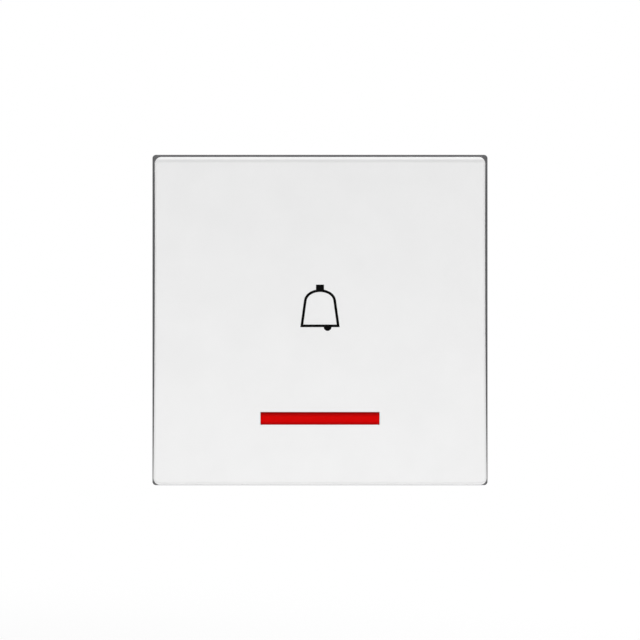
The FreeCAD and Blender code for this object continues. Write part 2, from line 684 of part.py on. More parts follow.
def make_rocker():
    body = new_rocking_body("rocker")
    cap = pad_sideways(
        body, "cap", "rocker_width", face_profile("0", "skirt_drop", "rocker_height")
    )
    corners = round_edges(body, "cap_corners", cap, runs_outward, "rocker_corner")
    front = value("face_reach") - 1e-3
    round_edges(
        body, "face_edge", corners, lambda edge: edge.BoundBox.YMax < -front, "rocker_round"
    )
    pocket_sideways(
        body, "cap_inside", SKIRT_INNER_WIDTH,
        face_profile("face_thick", "skirt_drop", SKIRT_INNER_HEIGHT),
    )
    ceiling = "(face_reach - face_thick / 2)"
    for side, hand in SIDES:
        pad(
            body, f"long_rib_{hand}", "rib_reach", ceiling,
            rectangle("rib_thick", "2 * rib_half", f"{side} * rib_side"),
        )
        pad(
            body, f"spring_seat_{hand}", "spring_seat", ceiling,
            rectangle("seat_side", "seat_side", f"{side} * spring_side", "-press_drop"),
        )
        for end, when in ((1, "rest"), (-1, "pressed")):
            pad(
                body, f"{when}_leg_{hand}", "stop_reach", ceiling,
                rectangle("stop_leg", "stop_leg", f"{side} * stop_side", f"{end} * stop_height"),
            )
    for end, name in ((1, "upper_rib"), (-1, "lower_rib")):
        pad(
            body, name, "(rib_reach + face_reach - face_thick) / 2", ceiling,
            rectangle(f"{SKIRT_INNER_WIDTH} + skirt_wall", "rib_thick", "0",
                      f"{end} * cross_rib_height"),
        )
    pad(body, "plunger_nib", "nib_reach", ceiling, circle("nib_size", "0", "-press_drop"))
    pad(
        body, "window_seat", "seat_reach", ceiling,
        rectangle("seat_width", "seat_height", "0", "-window_drop"),
    )
    for side, hand in SIDES:
        pad(
            body, f"window_stake_{hand}", "seat_reach - stake_rise", ceiling,
            circle("stake_size", f"{side} * stake_side", "-window_drop"),
        )
    slot = rectangle(
        "window_width + 2 * window_fit", "window_height + 2 * window_fit", "0", "-window_drop"
    )
    pocket(body, "window_slot", "2 * face_reach", "seat_reach", slot)
    for name, shapes in bell_shapes():
        pocket(body, f"{name}_recess", "2 * face_reach", "face_reach - bell_depth", *shapes)
    trunnion = body.newObject("PartDesign::Pad", "trunnion_right")
    trunnion.Profile = sketch_on(
        body, "trunnion_right", "YZ_Plane", f"{SKIRT_INNER_WIDTH} / 2 - trunnion_length",
        [circle("trunnion_size")],
    )
    trunnion.setExpression("Length", tied("trunnion_length + skirt_wall / 2"))
    settle(body, trunnion)
    mirror(body, "trunnions", [trunnion])
    return body


# Bell sign: a standing bell drawn in line, inlaid flush with the face

def bell_line(inset):
    """The bell's outline, moved inwards by an inset all round."""
    def draw(sketch):
        lean = math.radians(value("bell_lean"))
        crown = value("bell_crown") - value(inset)
        shoulder = value("bell_shoulder") - value(inset)
        foot_height = value(f"{inset} - bell_drop")
        foot_half = value(foot_half_width(inset))
        crown_height = value("bell_rise - bell_drop - bell_crown")
        outward = Vector(math.cos(lean), math.sin(lean), 0)
        foot = Vector(foot_half, foot_height, 0)
        # the shoulder's centre lies one shoulder inside the side line and touches the crown
        offset = outward.dot(foot) - shoulder - outward.y * crown_height
        along = math.sqrt((crown - shoulder) ** 2 - offset ** 2)
        hub = Vector(0, crown_height, 0) + outward * offset + Vector(-outward.y, outward.x, 0) * along
        side_top = hub + outward * shoulder
        crown_end = Vector(0, crown_height, 0) + (
            hub - Vector(0, crown_height, 0)
        ).normalize() * crown
        shoulder_middle = hub + (
            (side_top + crown_end) * 0.5 - hub
        ).normalize() * shoulder

        def flip(point):
            return Vector(-point.x, point.y, 0)

        crown_top = Vector(0, crown_height + crown, 0)
        right = sketch.addGeometry(Part.LineSegment(foot, side_top))
        right_arc = sketch.addGeometry(Part.Arc(side_top, shoulder_middle, crown_end))
        top_arc = sketch.addGeometry(Part.Arc(crown_end, crown_top, flip(crown_end)))
        left_arc = sketch.addGeometry(
            Part.Arc(flip(crown_end), flip(shoulder_middle), flip(side_top))
        )
        left = sketch.addGeometry(Part.LineSegment(flip(side_top), flip(foot)))
        base_line = sketch.addGeometry(Part.LineSegment(flip(foot), foot))
        for kind, first, second in (
            ("Tangent", right, right_arc), ("Tangent", right_arc, top_arc),
            ("Tangent", top_arc, left_arc), ("Tangent", left_arc, left),
            ("Coincident", left, base_line), ("Coincident", base_line, right),
        ):
            sketch.addConstraint(Sketcher.Constraint(kind, first, 2, second, 1))
        fix_point(sketch, base_line, 2, foot_half_width(inset), f"{inset} - bell_drop")
        fix_point(sketch, base_line, 1, f"-({foot_half_width(inset)})", f"{inset} - bell_drop")
        fix_point(sketch, top_arc, 3, "0", "bell_rise - bell_drop - bell_crown")
        fix(sketch, "Radius", top_arc, f"bell_crown - {inset}")
        fix(sketch, "Radius", right_arc, f"bell_shoulder - {inset}")
        fix(sketch, "Radius", left_arc, f"bell_shoulder - {inset}")
    return draw


def foot_half_width(inset):
    """Half the bell's width at its foot, for an outline moved inwards."""
    return f"bell_foot - {inset} * (tan(bell_lean) + 1 / cos(bell_lean))"


def bell_shapes():
    """The parts of the sign: the ringed bell, the knob on top and the clapper."""
    knob_low = "bell_rise - bell_drop - bell_stroke / 2"
    knob_high = "bell_rise - bell_drop + knob_rise"
    knob = rectangle(
        "bell_knob", f"{knob_high} - ({knob_low})", "0", f"({knob_high} + {knob_low}) / 2"
    )
    clapper_level = "bell_stroke / 2 - bell_drop"
    clapper = outline(
        ("clapper_side + clapper_radius", clapper_level),
        ("clapper_side - clapper_radius", clapper_level),
        ("clapper_side - clapper_radius", "-bell_drop"),
        ("clapper_side", "-bell_drop - clapper_radius"),
        ("clapper_side + clapper_radius", "-bell_drop"),
        arcs={
            2: ("clapper_radius", ("clapper_side", "-bell_drop")),
            3: ("clapper_radius", ("clapper_side", "-bell_drop")),
        },
    )
    return (
        ("bell_ring", [bell_line("0"), bell_line("bell_stroke")]),
        ("bell_knob", [knob]),
        ("bell_clapper", [clapper]),
    )


def make_bell():
    body = new_rocking_body("bell_symbol")
    for name, shapes in bell_shapes():
        pad(body, name, "face_reach - bell_depth", "face_reach + bell_depth", *shapes)
    hollow_front(body, "bell_front", "0")
    return body


def make_lens():
    """Window, flange and light guide, moulded as one clear red piece."""
    body = new_rocking_body("lens")
    window = pad(
        body, "window", "seat_reach", "2 * seat_reach",
        rectangle("window_width", "window_height", "0", "-window_drop"),
    )
    round_edges(body, "window_corners", window, runs_outward, "window_corner")
    hollow_front(body, "window_front", "window_sink")
    pad(
        body, "window_flange", "seat_reach - lug_thick", "seat_reach",
        rectangle("lug_width", "lug_height", "0", "-window_drop"),
    )
    pad(
        body, "light_guide", "guide_reach", "seat_reach",
        rectangle("guide_width", "guide_thick", "0", "-window_drop"),
    )
    pocket(
        body, "stake_holes", "seat_reach", "seat_reach - lug_thick",
        *[circle("stake_size + 2 * window_fit", f"{side} * stake_side", "-window_drop")
          for side, hand in SIDES],
    )
    return body


# Contact block, its cover and the screws that hold them to the base

def make_contact_block():
    body = new_body("contact_block")
    pad(
        body, "block", "tub_floor", "block_level",
        rectangle("block_width", BLOCK_HEIGHT, "0", BLOCK_MIDDLE),
    )
    pocket(
        body, "block_inside", "block_level", "block_floor",
        rectangle("block_width - 2 * block_wall", f"{BLOCK_HEIGHT} - 2 * block_wall", "0",
                  BLOCK_MIDDLE),
    )
    for side, hand in SIDES:
        pad(
            body, f"screw_column_{hand}", "block_floor", "block_level",
            circle("column_size", f"{side} * fixing_side", "fixing_height"),
        )
        pad(
            body, f"terminal_rest_{hand}", "block_floor", "strip_level",
            rectangle("terminal_pad", "terminal_pad", f"{side} * terminal_side",
                      "terminal_height"),
        )
        pad(
            body, f"strip_rest_{hand}", "block_floor", "strip_level",
            rectangle("leg_width", f"terminal_height - ({PLUNGER_HEIGHT})",
                      f"{side} * (leg_near + leg_width / 2)",
                      f"(terminal_height + {PLUNGER_HEIGHT}) / 2"),
        )
    wall_middle = "block_wall / 2"
    for side, hand in SIDES:
        pocket(
            body, f"screw_bore_{hand}", "block_level", "tub_floor",
            circle("shank_size + 2 * shank_fit", f"{side} * fixing_side", "fixing_height"),
        )
        pocket(
            body, f"terminal_well_{hand}", "strip_level", "tub_floor",
            circle("terminal_shank + 4 * shank_fit", f"{side} * terminal_side",
                   "terminal_height"),
        )
        pocket(
            body, f"wire_notch_{hand}", "block_level", STRIP_TOP,
            rectangle("wire_notch", "2 * block_wall", f"{side} * terminal_side",
                      f"block_top - {wall_middle}"),
        )
        pocket(
            body, f"tail_notch_{hand}", "block_level", "strip_level",
            rectangle("tail_width + 4 * shank_fit", "2 * block_wall",
                      f"{side} * (leg_near + leg_width / 2)", f"block_bottom + {wall_middle}"),
        )
    return body


def make_cover():
    body = new_body("contact_block_cover")
    pad(
        body, "cover_plate", "block_level", COVER_TOP,
        rectangle("block_width", BLOCK_HEIGHT, "0", BLOCK_MIDDLE),
    )
    pocket(
        body, "cover_plunger_hole", COVER_TOP, "block_level",
        circle("stem_size + 2 * guide_fit", "0", PLUNGER_HEIGHT),
    )
    pocket(
        body, "cover_screw_holes", COVER_TOP, "block_level",
        *[circle("shank_size + 2 * shank_fit", f"{side} * fixing_side", "fixing_height")
          for side, hand in SIDES],
        *[circle("access_size", f"{side} * terminal_side", "terminal_height")
          for side, hand in SIDES],
    )
    return body


def turned_screw(label, across, up, levels, radii):
    """A slotted cheese head screw standing straight out from the wall."""
    point, seat, top = levels
    shank, head = radii
    body = new_body(label, across=across, up=up)
    turn(body, label + "_form", outline(
        (f"-({point})", "0"),
        (f"-({point})", shank),
        (f"-({seat})", shank),
        (f"-({seat})", head),
        (f"-({top})", head),
        (f"-({top})", "0"),
    ))
    pocket(
        body, label + "_slot", top, f"({seat} + {top}) / 2",
        rectangle(f"3 * {head}", "driver_slot"),
    )
    return body


def make_block_screw(side, hand):
    return turned_screw(
        f"block_screw_{hand}", f"{side} * fixing_side", "fixing_height",
        ("shank_end", COVER_TOP, f"{COVER_TOP} + head_rise"),
        ("(shank_size / 2)", "(head_size / 2)"),
    )


def make_terminal_screw(side, hand):
    return turned_screw(
        f"terminal_screw_{hand}", f"{side} * terminal_side", "terminal_height",
        ("terminal_end", CLAMP_TOP, f"{CLAMP_TOP} + terminal_head_rise"),
        ("(terminal_shank / 2)", "(terminal_head / 2)"),
    )


def make_contact_strip(side, hand):
    """A stamped strip: terminal pad, long leg, contact arm and soldered tail."""
    body = new_body(f"contact_strip_{hand}")
    arm_half = "(contact_size / 2 + arm_over)"
    arm_high = f"({PLUNGER_HEIGHT} + {arm_half})"
    arm_low = f"({PLUNGER_HEIGHT} - {arm_half})"
    arm_end = "(contact_side - contact_size / 2 - strip_thick / 4)"
    leg_far = "(leg_near + leg_width)"
    tail_near = "(leg_near + leg_width / 2 - tail_width / 2)"
    tail_far = "(leg_near + leg_width / 2 + tail_width / 2)"
    tail_end = "(block_bottom - tail_reach)"
    pad_near = "(terminal_side - terminal_pad / 2)"
    pad_far = "(terminal_side + terminal_pad / 2)"
    pad_low = "(terminal_height - terminal_pad / 2)"
    pad_high = "(terminal_height + terminal_pad / 2)"
    corners = (
        (arm_end, arm_low), (tail_near, arm_low), (tail_near, tail_end),
        (tail_far, tail_end), (tail_far, arm_low), (leg_far, arm_low),
        (leg_far, pad_low), (pad_far, pad_low), (pad_far, pad_high),
        (pad_near, pad_high), (pad_near, pad_low), ("leg_near", pad_low),
        ("leg_near", arm_high), (arm_end, arm_high),
    )
    pad(
        body, f"strip_{hand}", "strip_level", STRIP_TOP,
        outline(*[(f"{side} * {across}", up) for across, up in corners]),
        circle("terminal_shank + 2 * shank_fit", f"{side} * terminal_side", "terminal_height"),
    )
    return body


def make_wire_clamp(side, hand):
    """A square washer with two lips turned down towards the wire."""
    body = new_body(f"wire_clamp_{hand}", across=f"{side} * terminal_side", up="terminal_height")
    pad(
        body, f"clamp_{hand}", CLAMP_LEVEL, CLAMP_TOP, rectangle("clamp_side", "clamp_side"),
    )
    pad(
        body, f"clamp_lips_{hand}", f"{CLAMP_LEVEL} - clamp_lip", CLAMP_LEVEL,
        *[rectangle("clamp_lip", "clamp_side", f"{end} * (clamp_side - clamp_lip) / 2")
          for end in (-1, 1)],
    )
    pocket(
        body, f"clamp_hole_{hand}", CLAMP_TOP, CLAMP_LEVEL,
        circle("terminal_shank + 2 * shank_fit"),
    )
    return body


def make_contact(label, across, low, high):
    """A silver contact rivet."""
    body = new_body(label, across=across, up=PLUNGER_HEIGHT)
    turn(body, label + "_form", outline(
        (f"-({low})", "0"), (f"-({low})", "contact_size / 2"),
        (f"-({high})", "contact_size / 2"), (f"-({high})", "0"),
    ))
    return body


def make_bridge():
    body = new_body("contact_bridge", up=PLUNGER_HEIGHT)
    pad(
        body, "bridge", BRIDGE_LEVEL, BRIDGE_TOP,
        rectangle("2 * (contact_side + bridge_over)", "bridge_width"),
        circle("pin_size + 2 * shank_fit"),
    )
    return body


def make_plunger():
    body = new_body("plunger", up=PLUNGER_HEIGHT)
    stem = "(stem_size / 2)"
    turn(body, "plunger_form", outline(
        (f"-({BRIDGE_LEVEL} - pin_length)", "0"),
        (f"-({BRIDGE_LEVEL} - pin_length)", "pin_size / 2"),
        (f"-{BRIDGE_TOP}", "pin_size / 2"),
        (f"-{BRIDGE_TOP}", "shoulder_size / 2"),
        ("-(block_level - shoulder_gap)", "shoulder_size / 2"),
        ("-(block_level - shoulder_gap)", stem),
        (f"-({HEAD_LEVEL} - tip_rise)", stem),
        (f"-{HEAD_LEVEL}", "tip_size / 2"),
        (f"-{HEAD_LEVEL}", "0"),
    ))
    return body


def make_plunger_spring():
    """A coil spring of square wire, standing between the block's floor and the bridge."""
    body = new_body("plunger_spring", up=PLUNGER_HEIGHT)
    first = "(block_floor + plunger_wire / 2)"
    section = rectangle("plunger_wire", "plunger_wire", f"-{first}", "plunger_coil / 2")
    sketch = sketch_on(body, "plunger_spring_wire", "YZ_Plane", "0", [section])
    coil = body.newObject("PartDesign::AdditiveHelix", "plunger_spring_coil")
    coil.Profile = sketch
    coil.ReferenceAxis = (sketch, ["H_Axis"])
    coil.Mode = "height-turns-angle"
    coil.setExpression("Height", tied(f"{BRIDGE_LEVEL} - plunger_wire / 2 - {first}"))
    coil.setExpression("Turns", tied("plunger_turns"))
    coil.Reversed = True
    settle(body, coil)
    return body


def make_return_spring(side, hand):
    """A bent leaf spring: a foot on the floor, a low bend, an arm and a rolled crest."""
    body = new_body(f"return_spring_{hand}", across=f"{side} * spring_side", up=PLUNGER_HEIGHT)
    outside = "(leaf_bend + leaf_thick)"
    seat = "(pivot_level + spring_seat / cos(rest_tilt) + press_drop * tan(rest_tilt))"
    lean = f"{outside} * (1 / cos(rest_tilt) - 1)"
    rise = f"({seat} - {lean} - spring_fit - tub_floor - 2 * {outside})"
    arm = f"sqrt({rise} ^ 2 + leaf_span ^ 2)"
    bend = f"(tub_floor + {outside})"
    crest = f"({bend} + {rise})"

    def beside_arm(level, height, radius):
        """A point on the arm's normal through a bend's centre."""
        return (f"-({level} + {radius} * leaf_span / {arm})", f"{height} - {radius} * {rise} / {arm}")

    def beside_lip(radius, along):
        """A point on the lip's normal, moved along the lip."""
        return (
            f"-({crest} + {radius} * cos(lip_lean) - {along} * sin(lip_lean))",
            f"{radius} * sin(lip_lean) + {along} * cos(lip_lean)",
        )

    low_centre = (f"-{bend}", "-leaf_span")
    crest_centre = (f"-{crest}", "0")
    pad_sideways(body, f"leaf_{hand}", "leaf_width", outline(
        ("-tub_floor", "foot_reach"),
        ("-tub_floor", "-leaf_span"),
        beside_arm(bend, "-leaf_span", outside),
        beside_arm(crest, "0", outside),
        beside_lip(outside, "0"),
        beside_lip(outside, "leaf_lip"),
        beside_lip("leaf_bend", "leaf_lip"),
        beside_lip("leaf_bend", "0"),
        beside_arm(crest, "0", "leaf_bend"),
        beside_arm(bend, "-leaf_span", "leaf_bend"),
        ("-(tub_floor + leaf_thick)", "-leaf_span"),
        ("-(tub_floor + leaf_thick)", "foot_reach"),
        arcs={
            1: (outside, low_centre), 3: (outside, crest_centre),
            7: ("leaf_bend", crest_centre), 9: ("leaf_bend", low_centre),
        },
    ))
    pocket(
        body, f"leaf_hole_{hand}", "tub_floor + leaf_thick", "tub_floor",
        circle("peg_size + 2 * peg_fit", "0", "peg_height"),
    )
    return body


# Lamp board and what is soldered to it, from plain primitives

def make_board():
    body = new_body("lamp_board")
    pad(
        body, "board", BOARD_LEVEL, "strip_level",
        rectangle("board_width", "board_height", "0", "-board_drop"),
        *[circle("board_pin + 2 * board_fit", f"{side} * board_pin_side", "-board_drop")
          for side, hand in SIDES],
    )
    return body


def primitive(kind, name, place, **sizes):
    """A Part primitive with its sizes and its place tied to the sheet."""
    solid = doc.addObject(kind, name)
    for size, text in sizes.items():
        solid.setExpression(size, tied(text))
    for axis, text in zip("xyz", place):
        solid.setExpression(f"Placement.Base.{axis}", tied(text))
    return solid


def box_on_board(name, across, drop, width, height, rise, low="strip_level"):
    """A box that stands on a level, about a middle."""
    place = (f"{across} - {width} / 2", f"-({low} + {rise})", f"-({drop}) - {height} / 2")
    return primitive("Part::Box", name, place, Length=width, Width=rise, Height=height)


def fused(label, solids):
    """Several primitives as one sub-part."""
    whole = doc.addObject("Part::MultiFuse", label)
    whole.Shapes = solids
    whole.Refine = True
    doc.recompute()
    return whole


def make_lamp(side, hand):
    """A flat lamp with a round window on its square body."""
    name = f"led_{hand}"
    across = f"{side} * lamp_side"
    box = box_on_board(name + "_box", across, "lamp_drop", "lamp_width", "lamp_height",
                       "lamp_rise")
    eye = doc.addObject("Part::Cylinder", name + "_eye")
    eye.setExpression("Radius", tied("lamp_eye"))
    eye.setExpression("Height", tied("lamp_rise + eye_rise"))
    eye.setExpression("Placement", tied(
        f"placement(vector({across}; -strip_level; -lamp_drop); rotation(vector(1; 0; 0); 90))"
    ))
    return fused(name, [box, eye])


def make_resistor():
    across = "-chip_side"
    chip = box_on_board("chip_middle", across, "chip_drop", "(chip_length - 2 * chip_cap)",
                        "(chip_width - 2 * cap_over)", "(chip_rise - cap_over)")
    caps = [
        box_on_board(f"chip_cap_{hand}", f"({across} + {side} * (chip_length - chip_cap) / 2)",
                     "chip_drop", "chip_cap", "chip_width", "chip_rise")
        for side, hand in SIDES
    ]
    return fused("resistor", [chip] + caps)


def make_diode():
    """A moulded diode with a tapered top and two bent legs."""
    case = doc.addObject("Part::Wedge", "diode_case")
    for name, text in (
        ("Xmin", "0"), ("Xmax", "diode_length"), ("Zmin", "0"), ("Zmax", "diode_width"),
        ("Ymin", "0"), ("Ymax", "diode_rise"),
        ("X2min", "diode_draft"), ("X2max", "diode_length - diode_draft"),
        ("Z2min", "diode_draft"), ("Z2max", "diode_width - diode_draft"),
    ):
        case.setExpression(name, tied(text))
    case.setExpression("Placement", tied(
        "placement(vector(diode_side - diode_length / 2; -strip_level;"
        " -diode_drop + diode_width / 2); rotation(vector(1; 0; 0); 180))"
    ))
    legs = [
        box_on_board(f"diode_leg_{hand}",
                     f"(diode_side + {side} * (diode_length + diode_leg) / 2)", "diode_drop",
                     "(2 * diode_leg)", "leg_breadth", "diode_leg")
        for side, hand in SIDES
    ]
    return fused("rectifier_diode", [case] + legs)


parts = [
    make_base(), make_grommet(), make_rocker(), make_bell(), make_lens(),
    make_contact_block(), make_cover(), make_bridge(), make_plunger(), make_board(),
    make_resistor(), make_diode(),
    make_plunger_spring(),
]
for side, hand in SIDES:
    parts += [
        make_block_screw(side, hand),
        make_terminal_screw(side, hand),
        make_contact_strip(side, hand),
        make_wire_clamp(side, hand),
        make_contact(f"fixed_contact_{hand}", f"{side} * contact_side", STRIP_TOP, FIXED_TOP),
        make_contact(f"bridge_contact_{hand}", f"{side} * contact_side", TIP_LEVEL,
                     BRIDGE_LEVEL),
        make_return_spring(side, hand),
        make_lamp(side, hand),
    ]

doc.recompute()
faults = [item.Label for item in doc.Objects if {"Invalid", "Error"} & set(item.State)]
faults += [item.Label for item in parts if item.Shape.isNull() or not item.Shape.isValid()]
if faults:
    raise RuntimeError("not sound: " + ", ".join(faults))

os.makedirs("parts", exist_ok=True)
for item in parts:
    item.Shape.exportStep(f"parts/{item.Label}.step")

travel = value(PLUNGER_TRAVEL)
turn_of_rocker = math.radians(value("press_angle"))
print(f"{len(parts)} pieces, plunger travel {travel:.4f} mm,"
      f" {travel / turn_of_rocker:.4f} mm for each radian of the rocker")
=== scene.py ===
# %% [markdown]
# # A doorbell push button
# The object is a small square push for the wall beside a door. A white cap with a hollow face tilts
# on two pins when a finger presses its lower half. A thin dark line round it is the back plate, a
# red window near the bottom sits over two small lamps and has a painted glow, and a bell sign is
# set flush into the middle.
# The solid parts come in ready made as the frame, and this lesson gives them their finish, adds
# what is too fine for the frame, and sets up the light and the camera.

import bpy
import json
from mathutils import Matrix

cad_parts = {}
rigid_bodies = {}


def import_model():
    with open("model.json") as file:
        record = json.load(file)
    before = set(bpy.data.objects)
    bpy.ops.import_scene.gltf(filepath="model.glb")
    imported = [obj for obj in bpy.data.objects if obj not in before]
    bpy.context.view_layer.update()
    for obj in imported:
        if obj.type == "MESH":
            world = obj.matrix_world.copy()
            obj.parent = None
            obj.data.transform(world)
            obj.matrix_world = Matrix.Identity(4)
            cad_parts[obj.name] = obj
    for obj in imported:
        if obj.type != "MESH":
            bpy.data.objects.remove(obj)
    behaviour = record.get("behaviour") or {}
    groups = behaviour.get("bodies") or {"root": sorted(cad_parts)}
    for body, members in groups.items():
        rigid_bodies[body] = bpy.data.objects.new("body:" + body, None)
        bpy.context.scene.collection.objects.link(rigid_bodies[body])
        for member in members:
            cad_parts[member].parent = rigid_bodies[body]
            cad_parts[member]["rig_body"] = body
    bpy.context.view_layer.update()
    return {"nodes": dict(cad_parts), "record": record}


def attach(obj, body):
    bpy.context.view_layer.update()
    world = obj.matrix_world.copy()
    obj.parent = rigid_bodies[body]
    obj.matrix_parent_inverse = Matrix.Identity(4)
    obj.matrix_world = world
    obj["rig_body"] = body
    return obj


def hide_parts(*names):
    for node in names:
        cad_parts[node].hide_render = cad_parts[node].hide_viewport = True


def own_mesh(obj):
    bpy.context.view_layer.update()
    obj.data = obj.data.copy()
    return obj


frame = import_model()
print("frame of", len(frame["nodes"]), "parts")

# %% [markdown]
# Sizes on such a small object are easiest to read in millimetres. The file works in metres, so each
# size is written as a number times MM. The picture is square, and the view transform stays plain,
# so a colour renders about as it is written.

# %% Units and view
import json
import math

import bpy
from mathutils import Vector

MM = 0.001
scene = bpy.context.scene
scene.view_settings.view_transform = "Standard"

# %% [markdown]
# The photograph looks straight at the face from about forty centimetres, which shows only the face
# and the thin dark line of the back plate. A longer lens than usual keeps the sides out of sight.
# The camera stands level with the middle of the plate and looks into the wall. The lens follows
# from how much of the plane of the face fills the picture.

# %% Camera
CAMERA_DISTANCE = 383 * MM
FACE_DISTANCE = 368 * MM
PICTURE_WIDTH = 105.5 * MM
SENSOR_WIDTH = 36
SEEN_FROM, SEEN_TO = 10 * MM, 10

bpy.ops.object.camera_add(location=(0, -CAMERA_DISTANCE, 0), rotation=(math.radians(90), 0, 0))
camera = bpy.context.object
camera.name = "camera"
camera.data.sensor_width = SENSOR_WIDTH
camera.data.lens = SENSOR_WIDTH * FACE_DISTANCE / PICTURE_WIDTH
camera.data.clip_start = SEEN_FROM
camera.data.clip_end = SEEN_TO
scene.camera = camera
print("lens", round(camera.data.lens, 2), "mm")

# %% [markdown]
# The backdrop of the photograph is plain white. The world is white only to the rays that the camera
# sends, and to those that a shiny or clear surface sends on, so that reflections show the same
# studio. All other rays meet a softer grey, which is the light that fills the shadows.

# %% World
FILL_LIGHT = 0.405
WHITE = (1, 1, 1, 1)


def seen_directly(nodes, links):
    """One for rays of the camera and those that shiny or clear surfaces send on, else nothing."""
    path = nodes.new("ShaderNodeLightPath")
    chosen = path.outputs["Is Camera Ray"]
    for kind in ("Is Glossy Ray", "Is Transmission Ray"):
        larger = nodes.new("ShaderNodeMath")
        larger.operation = "MAXIMUM"
        links.new(chosen, larger.inputs[0])
        links.new(path.outputs[kind], larger.inputs[1])
        chosen = larger.outputs[0]
    return chosen


world = bpy.data.worlds.new("studio")
scene.world = world
world.use_nodes = True
nodes, links = world.node_tree.nodes, world.node_tree.links
nodes.clear()
backdrop = nodes.new("ShaderNodeBackground")
backdrop.inputs["Color"].default_value = WHITE
backdrop.inputs["Strength"].default_value = 1
fill = nodes.new("ShaderNodeBackground")
fill.inputs["Color"].default_value = WHITE
fill.inputs["Strength"].default_value = FILL_LIGHT
choice = nodes.new("ShaderNodeMixShader")
result = nodes.new("ShaderNodeOutputWorld")
links.new(seen_directly(nodes, links), choice.inputs["Fac"])
links.new(fill.outputs[0], choice.inputs[1])
links.new(backdrop.outputs[0], choice.inputs[2])
links.new(choice.outputs[0], result.inputs["Surface"])
print("world ready, fill", FILL_LIGHT)

# %% [markdown]
# Soft panels light the push, as in a small product studio. A large one stands far off, above and in
# front, and makes the lower half of the hollow face brighter than the upper half. It has to be far
# away, because a near one would fade over the height of the face and undo just that. Two weak ones,
# low in front and on the floor right under the push, keep its lower edge bright, and one behind
# lights the sides and the back. Each row of the table gives a panel's place and the point that it
# faces, then its width, its height and its power, in metres and watts.

# %% Lamps
MIDDLE = (0, -0.01, 0)
LOWER_EDGE = (0, -0.002, 0)
PANELS = {
    "key_panel": ((0, -1.84, 1.54), MIDDLE, 2.7, 2.55, 47),
    "low_panel": ((0, -0.9, 0.06), MIDDLE, 1.2, 0.25, 0.12),
    "under_panel": ((0, -0.002, -0.088), LOWER_EDGE, 0.3, 0.1, 0.1),
    "back_panel": ((0.3, 0.6, 0.45), MIDDLE, 0.5, 0.5, 2.0),
}


def add_panel(name, place, aim, width, height, power):
    """A flat area lamp that faces a point."""
    bpy.ops.object.light_add(type="AREA", location=place)
    panel = bpy.context.object
    panel.name = name
    panel.data.shape = "RECTANGLE"
    panel.data.size = width
    panel.data.size_y = height
    panel.data.energy = power
    panel.rotation_euler = (Vector(aim) - Vector(place)).to_track_quat("-Z", "Y").to_euler()
    print(name, "at", place, "power", power)


for name, setting in PANELS.items():
    add_panel(name, *setting)

# %% [markdown]
# The floor is a wide pale sheet under the object, and is not part of it. Near the object the camera
# sees real paper with a little glow added, so that it comes out just white where the light falls on
# it and a soft grey in the object's shadow. Further out it fades into the same white as the
# backdrop.

# %% Floor
FLOOR_HEIGHT, FLOOR_SIZE = -90 * MM, 4
PAPER, PAPER_GLOW = 0.5, 0.5
PAPER_NEAR, PAPER_FAR = 200 * MM, 420 * MM

bpy.ops.mesh.primitive_plane_add(size=FLOOR_SIZE, location=(0, 0, FLOOR_HEIGHT))
floor = bpy.context.object
floor.name = "floor"
floor_paint = bpy.data.materials.new("pale_floor")
floor_paint.use_nodes = True
nodes, links = floor_paint.node_tree.nodes, floor_paint.node_tree.links
nodes.clear()
paper = nodes.new("ShaderNodeBsdfDiffuse")
paper.inputs["Color"].default_value = (PAPER, PAPER, PAPER, 1)
glow = nodes.new("ShaderNodeEmission")
glow.inputs["Strength"].default_value = PAPER_GLOW
lit_paper = nodes.new("ShaderNodeAddShader")
white = nodes.new("ShaderNodeEmission")
white.inputs["Strength"].default_value = 1
where = nodes.new("ShaderNodeTexCoord")
reach = nodes.new("ShaderNodeVectorMath")
reach.operation = "LENGTH"
fade = nodes.new("ShaderNodeMapRange")
fade.interpolation_type = "SMOOTHSTEP"
fade.inputs["From Min"].default_value = PAPER_NEAR
fade.inputs["From Max"].default_value = PAPER_FAR
seen_floor = nodes.new("ShaderNodeMixShader")
choice = nodes.new("ShaderNodeMixShader")
result = nodes.new("ShaderNodeOutputMaterial")
links.new(where.outputs["Object"], reach.inputs[0])
links.new(reach.outputs["Value"], fade.inputs["Value"])
links.new(paper.outputs[0], lit_paper.inputs[0])
links.new(glow.outputs[0], lit_paper.inputs[1])
links.new(fade.outputs["Result"], seen_floor.inputs["Fac"])
links.new(lit_paper.outputs[0], seen_floor.inputs[1])
links.new(white.outputs[0], seen_floor.inputs[2])
links.new(seen_directly(nodes, links), choice.inputs["Fac"])
links.new(paper.outputs[0], choice.inputs[1])
links.new(seen_floor.outputs[0], choice.inputs[2])
links.new(choice.outputs[0], result.inputs["Surface"])
floor.data.materials.append(floor_paint)
print("floor at", FLOOR_HEIGHT)

# %% [markdown]
# Moulded plastic is never perfectly even. Two effects come back in every finish, so each is a small
# node group: a fine grain that tilts the surface normal, and slow patches that change a colour or a
# gloss a little from place to place. Both start from the same noise over the object's own space,
# and the patches use only the middle of its range, where most of its values lie.

# %% Shared effects
GRAIN_DETAIL, PATCH_DETAIL = 3, 4
NOISE_LOW, NOISE_HIGH = 0.3, 0.7


def new_group(name, inputs, output, kind):
    """An empty node group with number inputs and one output, and its two end nodes."""
    group = bpy.data.node_groups.new(name, "ShaderNodeTree")
    for label in inputs:
        group.interface.new_socket(label, in_out="INPUT", socket_type="NodeSocketFloat")
    group.interface.new_socket(output, in_out="OUTPUT", socket_type=kind)
    return group, group.nodes.new("NodeGroupInput"), group.nodes.new("NodeGroupOutput")


